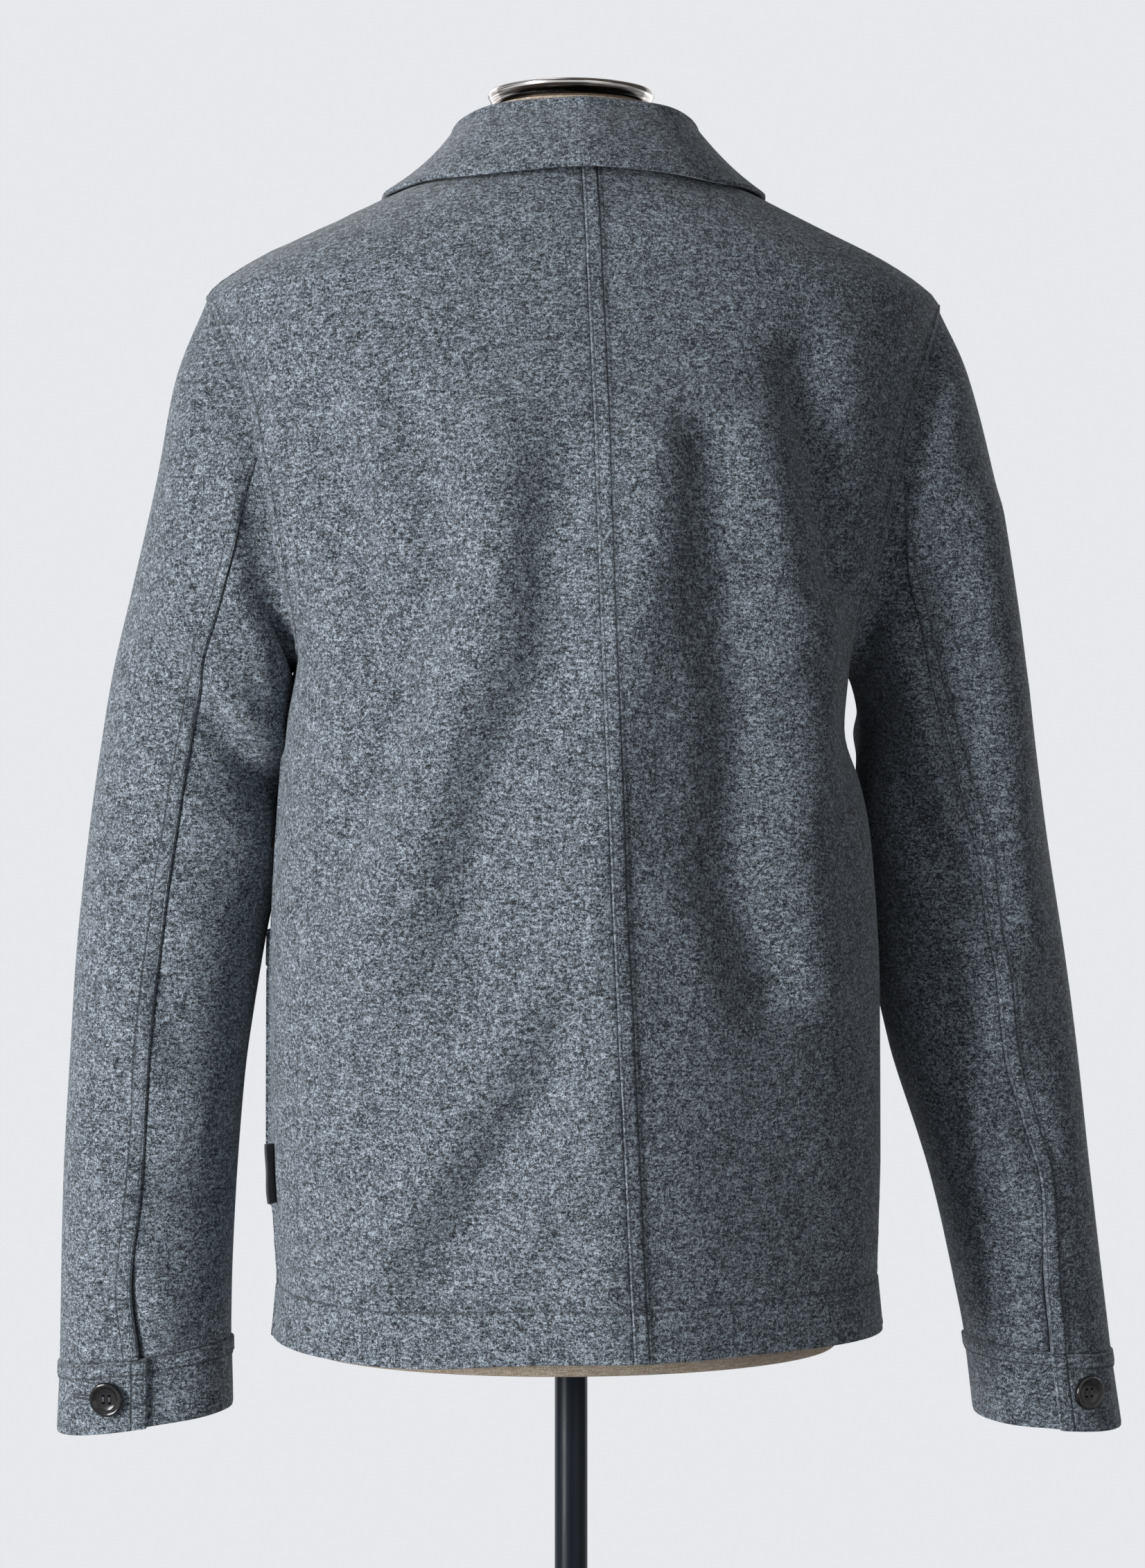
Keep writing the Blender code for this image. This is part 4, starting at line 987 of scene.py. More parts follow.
def sleeve_surface(table, side, places, columns, folds):
    """A dense piece of a sleeve between two columns, with its folds."""
    turns = sleeve_turns(table, columns)
    control, first_out = sleeve_control(table, side, turns)
    outer = along_rings(control, places)
    down = along_rings(control, places + 0.05) - along_rings(control, places - 0.05)
    out = unit(np.cross(down, np.gradient(outer, axis=1))) * side
    share = smooth_step(places / 1.2)[:, None, None]
    out = unit(first_out[None] * (1.0 - share) + out * share)
    behind = out[..., 1]
    x, height = outer[..., 0], outer[..., 2] - HEM
    relief = fold_relief(folds, x, height) * smooth_step((behind - 0.05) / 0.45)
    front_folds = fold_relief(SLEEVE_FRONT_FOLDS, np.abs(x), height)
    relief = relief + front_folds * smooth_step((-behind - 0.05) / 0.45)
    ends = smooth_step(places / 0.9) * smooth_step((CUFF_RING - places) / 0.5)
    relief = relief * coat_size("sleeve_fold_depth") * ends[:, None]
    if side > 0.0:
        inward = smooth_step((-out[..., 0] - 0.3) / 0.6)
        relief = relief + 0.0065 * inward * np.exp(-(((places - 1.5) / 1.1) ** 2))[:, None]
    else:
        inward = smooth_step((out[..., 0] - 0.3) / 0.6)
        relief = relief - 0.0040 * inward * np.exp(-(((places - 2.4) / 1.1) ** 2))[:, None]
    return outer + out * relief[..., None], out


# The vent above each cuff, where the top sleeve's back edge lies over the under sleeve.
VENT_LENGTH = 0.066
VENT_RISE = 0.0012


def dress_sleeves():
    far_rows = CUFF_RING - np.array((0.05, 0.02, 0.008, 0.0))
    places = np.concatenate([[0.0, 0.008, 0.02, 0.05], np.linspace(0.1, CUFF_RING - 0.1, 118), far_rows])
    top = np.concatenate([np.linspace(FRONT_SEAM_COLUMN, SLEEVE_COLUMNS_ROUND, 70)[:-1]])
    top = np.concatenate([top, np.linspace(0.0, BACK_SEAM_COLUMN, 90)])
    under = np.linspace(BACK_SEAM_COLUMN, FRONT_SEAM_COLUMN, 200)
    both = (
        ("left", 1.0, LEFT_SLEEVE, LEFT_SLEEVE_FOLDS),
        ("right", -1.0, RIGHT_SLEEVE, RIGHT_SLEEVE_FOLDS),
    )
    for word, side, table, folds in both:
        for part, columns in (("top", top), ("under", under)):
            points, out = sleeve_surface(table, side, places, columns, folds)
            edge = BAND_PLACES if part == "top" else PLAIN_PLACES
            laid = lay_out(points, out, edge, edge, 0.0038)
            length = np.linalg.norm(np.diff(laid.points, axis=0), axis=2)
            from_top = np.concatenate([np.zeros((1, length.shape[1])), np.cumsum(length, axis=0)])
            from_cuff = from_top[-1] - from_top
            relief = tucked(from_top) + tucked(from_cuff)
            shade = tucked_shade(from_top) + tucked_shade(from_cuff)
            if part == "top":
                vent = VENT_RISE * smooth_step((VENT_LENGTH - from_cuff) / 0.020)
                relief = relief + band(laid.start) + band(laid.end, coat_size("band_rise") + vent)
                relief = relief + pucker(from_top) * dip(laid.end, 0.010, 0.008, 1.0)
                shade = shade + band_shade(laid.start) + band_shade(laid.end)
            else:
                vent = smooth_step((VENT_LENGTH - from_cuff) / 0.020)
                relief = relief + tucked(laid.start) + tucked(laid.end)
                relief = relief - dip(laid.start, 0.0, 0.004, 0.0012) * vent
                shade = shade + tucked_shade(laid.start) + tucked_shade(laid.end)
                # Painted shadow on the under sleeve, beside the top sleeve's edge along the vent.
                shade = shade + vent * dip(laid.start, 0.0, 0.0022, 0.8)
            outer = laid.points + laid.out * relief[..., None]
            name = f"{word}_{part}_sleeve_cloth"
            cloth = cloth_wall(name, outer, laid.points - laid.out * CLOTH, np.clip(shade, 0.0, 1.0))
            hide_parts(f"{word}_{part}_sleeve")
            sewn = []
            if part == "top":
                lines = []
                for place in (BAND_WIDTH, EDGE_STITCH):
                    inset = BAND_PLACES.index(place)
                    for column in (inset, outer.shape[1] - 1 - inset):
                        lines.append((outer[:, column], laid.out[:, column]))
                sewn = [stitches(f"{name}_stitches", lines)]
            declare_cloth(outer)


def cuff_surface(table, side, rows):
    """A dense cuff from its hidden end, round the wrist, to the buttoned end that lies over it."""
    turn = np.radians(np.linspace(*CUFF_ENDS, 420))
    turns = np.tile(turn, (len(table.rows) + 1, 1))
    control, _ = sleeve_control(table, side, turns)
    outer = along_rings(control, rows)
    out = unit(np.cross(np.gradient(outer, axis=0), np.gradient(outer, axis=1))) * side
    hidden = 1.0 - smooth_step((np.degrees(turn) - 95.0) / 40.0)
    outer = outer - out * ((CLOTH + LAYER_GAP) * hidden)[None, :, None]
    return outer, out


CUFF_HEIGHT = 0.0425


def dress_cuffs():
    share = np.concatenate([np.array(BAND_PLACES) / CUFF_HEIGHT, np.linspace(0.34, 0.96, 14)])
    rows = CUFF_RING + np.concatenate([share, [0.985, 1.0]])
    for word, side, table in (("left", 1.0, LEFT_SLEEVE), ("right", -1.0, RIGHT_SLEEVE)):
        points, out = cuff_surface(table, side, rows)
        laid = lay_out(points, out, PLAIN_PLACES, BAND_PLACES, 0.0032)
        length = np.linalg.norm(np.diff(laid.points, axis=0), axis=2)
        from_top = np.concatenate([np.zeros((1, length.shape[1])), np.cumsum(length, axis=0)])
        relief = band(from_top) + band(laid.end, 0.0005)
        relief = relief - dip(from_top[-1] - from_top, 0.0, 0.0012, 0.0004)
        shade = band_shade(from_top) + band_shade(laid.end)
        outer = laid.points + laid.out * relief[..., None]
        name = f"{word}_cuff_cloth"
        cloth = cloth_wall(name, outer, laid.points - laid.out * CLOTH, np.clip(shade, 0.0, 1.0))
        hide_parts(f"{word}_cuff")
        last = outer.shape[1] - 1
        lines = []
        for place in (BAND_WIDTH, EDGE_STITCH):
            row, column = BAND_PLACES.index(place), last - BAND_PLACES.index(place)
            lines += [(outer[row], laid.out[row]), (outer[:, column], laid.out[:, column])]
        sewn = stitches(f"{name}_stitches", lines)
        declare_cloth(outer)
        centre, way = cuff_button_place(table, side)
        down = Vector((0.0, 0.0, -1.0))
        button(f"{word}_cuff_button_horn", f"{word}_cuff_button", centre, way, down)
        beside = Vector(way).cross(Vector((0.0, 0.0, 1.0))).normalized() * side
        hole = outer.reshape(-1, 3)
        ways = laid.out.reshape(-1, 3)
        buttonhole(f"{word}_cuff_buttonhole", centre, beside, hole, ways)


def cuff_button_place(table, side):
    """Where the solid frame has the cuff's button, and the way out of the cloth there."""
    turn = np.radians(np.linspace(*CUFF_ENDS, 35))
    turns = np.tile(turn, (len(table.rows) + 1, 1))
    control, _ = sleeve_control(table, side, turns)
    outer = along_rings(control, np.linspace(CUFF_RING, CUFF_RING + 1, 4))
    out = unit(np.cross(np.gradient(outer, axis=0), np.gradient(outer, axis=1))) * side
    column = int(np.argmin(np.abs(np.degrees(turn) - CUFF_BUTTON_TURN)))
    return (outer[1, column] + outer[2, column]) / 2.0, out[1, column]


def buttonhole(name, centre, beside, cloth, ways):
    """A slit beside a button, with thread worked round it."""
    start, length = 0.0115, 0.0150
    down = np.array((0.0, 0.0, -1.0))
    along = np.array(beside)
    across = down - along * np.dot(down, along)
    rows = []
    for place in np.arange(start, start + length, 0.00075):
        spot = np.array(centre) + along * place
        nearest = np.argmin(np.linalg.norm(cloth - spot, axis=1))
        way = ways[nearest]
        level = spot - way * np.dot(spot - cloth[nearest], way)
        for lean in (-1.0, 1.0):
            foot = level + across * 0.0002 * lean
            rows.append((np.array((foot, foot + across * 0.0016 * lean)), np.array((way, way))))
    return stitches(name, rows, pitch=0.0015, length=0.0016, radius=0.00034)


def button_mesh():
    """A button's blank: a raised rounded rim round a well, whose four holes are drilled afterwards."""
    r, h = BUTTON_RADIUS, BUTTON_HEIGHT
    profile = np.array(
        (
            (0.00, 0.50),
            (0.30, 0.50),
            (0.55, 0.54),
            (0.66, 0.66),
            (0.73, 0.86),
            (0.80, 0.97),
            (0.87, 1.00),
            (0.94, 0.93),
            (0.99, 0.74),
            (1.00, 0.52),
            (0.96, 0.22),
            (0.84, 0.03),
            (0.70, 0.00),
            (0.00, 0.00),
        )
    )
    steps = 64
    turn = np.linspace(0.0, 2.0 * math.pi, steps, endpoint=False)
    radius, height = profile[1:-1, 0] * r, profile[1:-1, 1] * h
    ring = np.stack(
        [
            radius[:, None] * np.cos(turn),
            radius[:, None] * np.sin(turn),
            np.broadcast_to(height[:, None], (len(radius), steps)),
        ],
        axis=-1,
    )
    points = ring.reshape(-1, 3)
    faces = grid_faces(len(radius), steps, 0, closed=True)[:, ::-1].tolist()
    faces.append(list(range(steps)))
    faces.append(list(range((len(radius) - 1) * steps, len(radius) * steps))[::-1])
    mesh = bpy.data.meshes.new("button_blank")
    mesh.from_pydata(points.tolist(), [], faces)
    return mesh


HOLE_SPREAD = 0.0019
HOLE_RADIUS = 0.0010


def drilled_button():
    """The button's blank with four holes drilled through its well."""
    blank = bpy.data.objects.new("button_blank", button_mesh())
    bpy.context.scene.collection.objects.link(blank)
    turn = np.linspace(0.0, 2.0 * math.pi, 16, endpoint=False)
    points, faces = [], []
    for x, y in ((1, 1), (-1, 1), (-1, -1), (1, -1)):
        start = len(points)
        for level in (-0.001, BUTTON_HEIGHT + 0.001):
            for angle in turn:
                across = x * HOLE_SPREAD + HOLE_RADIUS * math.cos(angle)
                along = y * HOLE_SPREAD + HOLE_RADIUS * math.sin(angle)
                points.append((across, along, level))
        count = len(turn)
        faces.append([start + count - 1 - step for step in range(count)])
        faces.append([start + count + step for step in range(count)])
        for step in range(count):
            after = (step + 1) % count
            faces.append([start + step, start + after, start + count + after, start + count + step])
    mesh = bpy.data.meshes.new("drills")
    mesh.from_pydata(points, [], faces)
    drills = bpy.data.objects.new("drills", mesh)
    bpy.context.scene.collection.objects.link(drills)
    cut = blank.modifiers.new("holes", "BOOLEAN")
    cut.object = drills
    cut.solver = "EXACT"
    bpy.context.view_layer.update()
    shaped = blank.evaluated_get(bpy.context.evaluated_depsgraph_get())
    result = bpy.data.meshes.new_from_object(shaped)
    result.name = "drilled_button"
    for leftover in (blank, drills):
        bpy.data.objects.remove(leftover, do_unlink=True)
    result.shade_smooth()
    result.set_sharp_from_angle(angle=math.radians(32.0))
    result.materials.clear()
    result.materials.append(finish_called("black_horn"))
    return result


def button(name, node, centre, way, down):
    """One button on the cloth, turned so that its holes stand square, with thread through them."""
    mesh = bpy.data.meshes.get("drilled_button") or drilled_button()
    made = bpy.data.objects.new(name, mesh)
    bpy.context.scene.collection.objects.link(made)
    up = Vector(way).normalized()
    side = down.cross(up).normalized()
    turn = Matrix((side, up.cross(side), up)).transposed().to_4x4()
    made.matrix_world = Matrix.Translation(Vector(centre) + up * BUTTON_GAP) @ turn
    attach(made, "root")
    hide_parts(node)
    rows = []
    spot = Vector(centre) + up * (BUTTON_GAP + BUTTON_HEIGHT * 0.50)
    lift = up * 0.0001
    for x in (-1, 1):
        for shift in (-0.00032, 0.0, 0.00032):
            column = spot + lift + side * (x * HOLE_SPREAD + shift)
            ends = [column + up.cross(side) * y * HOLE_SPREAD for y in (-1, 1)]
            rows.append((np.array([list(end) for end in ends]), np.array([list(up)] * 2)))
    stitches(f"{name}_thread", rows, pitch=2.0 * HOLE_SPREAD, length=2.0 * HOLE_SPREAD, radius=0.00030)
    return made


def dress_front_buttons():
    for number, height in enumerate(FRONT_BUTTON_HEIGHTS, start=1):
        centre, out = body_point(math.pi, height, CLOTH + LAYER_GAP)
        down = Vector((0.0, 0.0, -1.0))
        button(f"front_button_{number}_horn", f"front_button_{number}", centre, out, down)
        angle = math.pi + np.linspace(-0.35, 0.35, 60)[None, :]
        levels = height + np.linspace(-0.006, 0.006, 9)[:, None]
        cloth, ways = body_point(angle, levels, CLOTH + LAYER_GAP)
        beside = Vector((-1.0, 0.0, 0.0))
        cloth, ways = cloth.reshape(-1, 3), ways.reshape(-1, 3)
        buttonhole(f"front_buttonhole_{number}", centre, beside, cloth, ways)


def neckline(angle):
    return body_point(angle, NECK_SIDE - neck_drop(angle))


def blurred(points, reach):
    """A line of points with its corners softened over some neighbours each way."""
    weights = np.hanning(2 * reach + 3)[1:-1]
    weights = weights / weights.sum()
    first, last = points[:1] * 2.0 - points[reach:0:-1], points[-1:] * 2.0 - points[-2 : -reach - 2 : -1]
    longer = np.concatenate([first, points, last])
    return np.stack([np.convolve(longer[:, axis], weights, "valid") for axis in range(3)], axis=1)


COLLAR_HOLLOW = 0.0050


def dress_collar():
    """A stand from the neckline up to the fold, and a fall that comes down outside it."""
    reach = math.pi - 0.030
    angle = np.linspace(-reach, reach, 260)
    side, turn = np.sign(angle), np.degrees(np.abs(angle))
    foot, foot_out = neckline(angle)
    onward = unit(np.cross(np.gradient(foot, axis=0), foot_out))
    onward = onward * np.sign(onward[:, 2:])
    foot = foot - foot_out * COLLAR_CLOTH / 2.0 + onward * SEAM_GAP

    def station(kind):
        x = COLLAR_SHIFT + side * COLLAR.at(kind + "_x", turn)
        return np.stack([x, COLLAR.at(kind + "_y", turn), HEM + COLLAR.at(kind + "_h", turn)], axis=-1)

    fold, edge = blurred(station("fold"), 9), blurred(station("edge"), 9)
    outward = (edge - foot) * np.array((1.0, 1.0, 0.0))
    outward = unit(outward + unit(foot * np.array((1.0, 1.0, 0.0))) * 0.02)
    rise = np.array((0.0, 0.0, 1.0))
    inside = fold - outward * COLLAR_ROLL - rise * COLLAR_ROLL
    outside = fold + outward * COLLAR_ROLL - rise * COLLAR_ROLL
    hollow = COLLAR_HOLLOW * np.exp(-(((np.abs(angle) - math.pi / 2.0) / 0.55) ** 2))
    bulge = outward * (COLLAR_BULGE - hollow)[:, None]
    profile = np.array(
        [
            foot,
            foot + onward * 0.0036 + (inside - foot) * 0.16,
            foot + (inside - foot) * 0.55,
            inside,
            fold - outward * COLLAR_ROLL * 0.70 - rise * COLLAR_ROLL * 0.30,
            fold,
            fold + outward * COLLAR_ROLL * 0.70 - rise * COLLAR_ROLL * 0.30,
            outside,
            outside + (edge - outside) * 0.33 + bulge,
            outside + (edge - outside) * 0.67 + bulge,
            edge,
        ]
    )
    fall = np.linspace(7.0, 9.6, 20)[1:]
    ends = np.array((9.70, 9.76, 9.80, 9.84, 9.90, 9.95, 9.98, 10.0))
    rows = np.concatenate([np.linspace(0.0, 3.0, 14)[:-1], np.linspace(3.0, 7.0, 21), fall, ends])
    middle = along_rings(profile, rows)
    climb, across = np.gradient(middle, axis=0), np.gradient(middle, axis=1)
    out = unit(np.cross(climb, across))
    out[0] = foot_out
    turn_share = smooth_step((rows - 6.5) / 1.0)[:, None]
    wave = 0.0010 * np.sin(angle * 5.0 + 0.6) + 0.0007 * np.sin(angle * 9.0 + 2.0)
    edge_row = int(np.argmin(np.abs(rows - 9.80)))
    groove = dip(rows, 9.80, 0.03, coat_size("groove_depth"))[:, None]
    lift = turn_share * wave * np.minimum((rows[:, None] - 6.5) / 3.0, 1.0) * 0.6 - groove
    outer = middle + out * (COLLAR_CLOTH / 2.0 + lift)[..., None]
    inner = middle - out * (COLLAR_CLOTH / 2.0 - lift - groove)[..., None]
    # Painted shade in the collar's edge stitch groove.
    shade = np.broadcast_to(dip(rows, 9.80, 0.03, 0.6)[:, None], lift.shape)
    cloth = cloth_wall("collar_cloth", outer, inner, shade, round_off=0.0009)
    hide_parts("collar")
    lines = [(outer[edge_row, 3:-3], out[edge_row, 3:-3])]
    for column in (5, outer.shape[1] - 6):
        lines.append((outer[edge_row - 12 : edge_row, column], out[edge_row - 12 : edge_row, column]))
    sewn = stitches("collar_stitches", lines)
    declare_cloth(outer)


def dress_pockets():
    """Patches on the fronts, close to the side seams, whose mouths stand a little off the cloth."""
    for word, side in (("left", 1.0), ("right", -1.0)):
        up = np.concatenate([[0.0, 0.004, 0.012], np.linspace(0.02, 0.84, 40)])
        up = np.concatenate([up, [0.86, 0.868, 0.876, 0.89, 0.93, 0.97, 0.99, 1.0]])[:, None]
        across = np.linspace(0.0, 1.0, 161)[None, :]
        corner = np.sin(math.pi * across) ** 0.35
        height = POCKET_BOTTOM + (POCKET_TOP - POCKET_BOTTOM) * up + 0.010 * (1.0 - corner) * (1.0 - up)
        near = body_angle(POCKET_NEAR, height[:, 0], front=True)[:, None]
        angle = side * (POCKET_TURN + (near - POCKET_TURN) * across)
        stand = POCKET_STAND * up**1.5 * (1.0 - (2.0 * across - 1.0) ** 4)
        base = body_base(angle, height)
        extra = fold_relief(FINE_FRONT_FOLDS, base[..., 0], height) * 0.5
        points, out = body_point(angle, height, SEAM_GAP + CLOTH + stand + 0.0004 + extra)
        edge = (0.0, 0.0005, 0.0014, 0.0020, 0.0026, 0.0036)
        laid = lay_out(points, out, edge, edge, 0.0040)
        hem = dip(up, 0.868, 0.005, coat_size("groove_depth")) - 0.0005 * smooth_step((up - 0.868) / 0.01)
        sides = dip(laid.start, 0.0020, 0.0005, 0.0005) + dip(laid.end, 0.0020, 0.0005, 0.0005)
        outer = laid.points - laid.out * (hem + sides)[..., None]
        # Painted shade in the pocket's hem groove and in its side stitch grooves.
        shade = dip(up, 0.868, 0.005, 0.6) + (sides / 0.0005) * 0.5
        name = f"{word}_pocket_cloth"
        cloth = cloth_wall(name, outer, laid.points - laid.out * CLOTH, np.clip(shade, 0.0, 1.0))
        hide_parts(f"{word}_pocket")
        hem_row = 3 + 40 + 1
        lines = [(outer[:, 3], laid.out[:, 3]), (outer[:, -4], laid.out[:, -4])]
        lines += [(outer[2], laid.out[2]), (outer[hem_row], laid.out[hem_row])]
        sewn = stitches(f"{name}_stitches", lines)
        declare_cloth(outer)


LABEL_LOOP = 0.0008
LABEL_CLOTH = 0.0005


def dress_label():
    """A short ribbon folded into a loop that stands out of the left side seam, with nothing on it."""
    heights = LABEL_BOTTOM + np.linspace(0.0, LABEL_HEIGHT, 30)
    turn = np.linspace(-math.pi / 2.0, math.pi / 2.0, 11)
    legs = np.linspace(0.0, LABEL_REACH - LABEL_LOOP, 8)
    loop = LABEL_REACH - LABEL_LOOP + LABEL_LOOP * np.cos(turn)
    out_along = np.concatenate([legs[:-1], loop, legs[-2::-1]])
    sideways_at = np.concatenate([np.full(7, -1.0), np.sin(turn), np.full(7, 1.0)]) * LABEL_LOOP
    foot, out = body_point(LABEL_TURN, heights, LAYER_GAP)
    lean = unit(out + np.array((0.0, 1.1, 0.0)))[:, None]
    sideways = unit(np.cross(lean, np.array((0.0, 0.0, 1.0))))
    sway = 0.0004 * np.sin(heights * 240.0)[:, None] * (out_along / LABEL_REACH)
    middle = foot[:, None] + lean * out_along[None, :, None] + sideways * (sideways_at + sway)[..., None]
    way = unit(np.cross(np.gradient(middle, axis=0), np.gradient(middle, axis=1)))
    half = way * LABEL_CLOTH / 2.0
    outer, inner = middle + half, middle - half
    made = cloth_wall("side_label_ribbon", outer, inner, None, "black_ribbon", 0.0001)
    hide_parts("side_label")
    declare_cloth(middle)


def rounded(profile, cut=0.0006):
    """A turned profile with each corner cut off twice, near the corner, so that it looks round."""
    points = np.array(profile, float)
    for share in (cut, cut / 3.0):
        made = [points[0]]
        for before, corner, after in zip(points, points[1:], points[2:]):
            for other in (before, after):
                length = np.linalg.norm(other - corner)
                made.append(corner + (other - corner) * min(share / length, 0.3))
        points = np.array(made + [points[-1]])
    return points


def turned(name, node, profile, foot, look, steps=96, cut=0.0006):
    """A turned piece about the pole's axis. The profile of (radius, height) runs down from the axis."""
    shape = rounded(profile, cut)
    mesh = bpy.data.meshes.new(name)
    mesh.from_pydata(
        [(radius, 0.0, height + foot) for radius, height in shape],
        [(place, place + 1) for place in range(len(shape) - 1)],
        [],
    )
    mesh.materials.append(finish_called(look))
    made = bpy.data.objects.new(name, mesh)
    bpy.context.scene.collection.objects.link(made)
    screw = made.modifiers.new("turn", "SCREW")
    screw.steps = screw.render_steps = steps
    screw.use_merge_vertices = True
    screw.merge_threshold = 0.00001
    screw.use_smooth_shade = True
    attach(made, "root")
    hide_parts(node)
    return made


def dress_form():
    """The linen torso, smooth all round, with its neck under the cap."""
    steps = 120
    turn = np.linspace(0.0, 2.0 * math.pi, steps, endpoint=False)
    heights = np.concatenate([[FORM_FOOT], np.linspace(FORM_FOOT + 0.001, 0.715, 150), [0.716]])
    rings = []
    for height in heights:
        depth = np.where(np.cos(turn) >= 0.0, FORM.at("back", height), FORM.at("front", height))
        half = FORM.at("half_width", height)
        x = FORM.at("shift", height) + half * np.sin(turn)
        y = FORM.at("middle", height) + depth * np.cos(turn)
        rings.append(np.stack([x, y, np.full(steps, HEM + height)], axis=-1))
    points = np.concatenate(rings)
    faces = grid_faces(len(heights), steps, 0, closed=True)[:, ::-1].tolist()
    faces.append(list(range(steps)))
    faces.append([len(points) - 1 - step for step in range(steps)])
    made = add_piece("linen_form", points, faces, "undyed_linen")
    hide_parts("form_torso")


def dress_stand():
    top = HEM + 0.7163
    r = CAP_RADIUS
    cap = (
        (0.0, 0.0090),
        (0.30 * r, 0.0088),
        (0.80 * r, 0.0080),
        (0.90 * r, 0.0082),
        (0.96 * r, 0.0098),
        (1.00 * r, 0.0098),
        (1.01 * r, 0.0084),
        (0.97 * r, 0.0040),
        (0.93 * r, 0.0),
        (0.0, 0.0),
    )
    turned("chrome_cap", "neck_cap", cap, top, "turned_chrome")
    foot = BASE_HEIGHT + 0.0003
    length = HEM + FORM_FOOT - 0.0003 - foot
    pole = (
        (0.0, length),
        (POLE_RADIUS, length),
        (POLE_RADIUS, 0.0300),
        (0.0200, 0.0240),
        (0.0260, 0.0),
        (0.0, 0.0),
    )
    turned("black_pole", "stand_pole", pole, foot, "satin_black_steel", 64, 0.0010)
    base = (
        (0.0, BASE_HEIGHT),
        (BASE_RADIUS - 0.004, BASE_HEIGHT),
        (BASE_RADIUS, BASE_HEIGHT - 0.003),
        (BASE_RADIUS, 0.0),
        (0.0, 0.0),
    )
    turned("black_base", "stand_base", base, 0.0, "satin_black_steel", 128, 0.0012)


FLOOR_RADIUS = 1.25
FLOOR_LEVEL = -0.0005

# The camera's place: level with the coat's middle, 4.5 degrees round from straight behind.
CAMERA_TURN = math.radians(4.5)
CAMERA_DISTANCE = 2.0
CAMERA_HEIGHT = 0.778
FRAME_LONG_SIDE = 2263
PIXELS_PER_UNIT_SLOPE = 4878.0


def add_camera():
    data = bpy.data.cameras.new("view_from_behind")
    data.sensor_width = 36.0
    data.lens = 36.0 * PIXELS_PER_UNIT_SLOPE / FRAME_LONG_SIDE
    data.shift_x = 2.0 / FRAME_LONG_SIDE
    camera = bpy.data.objects.new("view_from_behind", data)
    camera.location = (
        CAMERA_DISTANCE * math.sin(CAMERA_TURN),
        CAMERA_DISTANCE * math.cos(CAMERA_TURN),
        CAMERA_HEIGHT,
    )
    camera.rotation_euler = (math.pi / 2.0, 0.0, math.pi - CAMERA_TURN)
    bpy.context.scene.collection.objects.link(camera)
    bpy.context.scene.camera = camera


def add_soft_light(name, place, aim, size, power, colour=(1.0, 1.0, 1.0)):
    data = bpy.data.lights.new(name, "AREA")
    data.shape = "RECTANGLE"
    data.size, data.size_y = size
    data.energy = power
    data.color = colour
    light = bpy.data.objects.new(name, data)
    light.location = place
    light.rotation_euler = (Vector(aim) - Vector(place)).to_track_quat("-Z", "Y").to_euler()
    bpy.context.scene.collection.objects.link(light)


class CoatSizes(bpy.types.PropertyGroup):
    """Sizes of the folds and of the sewing."""

    fold_depth: FloatProperty(
        name="Fold depth",
        description="How much deeper the body's folds are than the solid frame's",
        default=0.40,
    )
    sleeve_fold_depth: FloatProperty(
        name="Sleeve fold depth", description="Times that the sleeves' folds are deepened", default=2.1
    )
    band_rise: FloatProperty(
        name="Seam height",
        description="How far a felled seam stands up from the cloth",
        default=0.0013,
        precision=5,
        unit="LENGTH",
    )
    groove_depth: FloatProperty(
        name="Stitch groove",
        description="How deep a row of stitches pulls the cloth in",
        default=0.0008,
        precision=5,
        unit="LENGTH",
    )


class CoatColours(bpy.types.PropertyGroup):
    """Colours of the coat's and the form's finishes."""

    wool_dark: FloatVectorProperty(
        name="Dark wool",
        description="The melange's dark fibres",
        default=(0.013, 0.015, 0.018),
        subtype="COLOR",
    )
    wool_pale: FloatVectorProperty(
        name="Pale wool",
        description="The melange's pale fibres",
        default=(0.460, 0.530, 0.610),
        subtype="COLOR",
    )
    wool_blue: FloatVectorProperty(
        name="Blue wool",
        description="The few bluish fibres",
        default=(0.075, 0.110, 0.155),
        subtype="COLOR",
    )
    # Painted shade: the colour that the wool is darkened to in seams, grooves and under edges, where
    # shade falls.
    painted_seam_shade: FloatVectorProperty(
        name="Painted shade in seams",
        description="Painted shade on the wool in its seams and grooves",
        default=(0.022, 0.025, 0.030),
        subtype="COLOR",
    )
    thread_dark: FloatVectorProperty(
        name="Thread",
        description="The sewing thread's dark side",
        default=(0.030, 0.034, 0.040),
        subtype="COLOR",
    )
    thread_pale: FloatVectorProperty(
        name="Thread's light",
        description="The sewing thread's pale side",
        default=(0.120, 0.130, 0.145),
        subtype="COLOR",
    )
    horn: FloatVectorProperty(
        name="Horn",
        description="The buttons' colour",
        default=(0.008, 0.008, 0.009),
        subtype="COLOR",
    )
    horn_vein: FloatVectorProperty(
        name="Horn's veins",
        description="Paler veins in the buttons",
        default=(0.030, 0.028, 0.026),
        subtype="COLOR",
    )
    linen_dark: FloatVectorProperty(
        name="Linen shadow",
        description="Between the linen's threads",
        default=(0.330, 0.260, 0.190),
        subtype="COLOR",
    )
    linen_pale: FloatVectorProperty(
        name="Linen",
        description="The linen's threads",
        default=(0.640, 0.550, 0.440),
        subtype="COLOR",
    )


class StageChoices(bpy.types.PropertyGroup):
    """The plain studio round the coat."""

    key_power: FloatProperty(
        name="Key light",
        description="Power of the light on the left",
        default=104.0,
        unit="POWER",
    )
    fill_power: FloatProperty(
        name="Fill light",
        description="Power of the light overhead",
        default=8.0,
        unit="POWER",
    )
    backdrop: FloatVectorProperty(
        name="Backdrop",
        description="Colour behind the coat",
        default=(0.800, 0.810, 0.835),
        subtype="COLOR",
    )


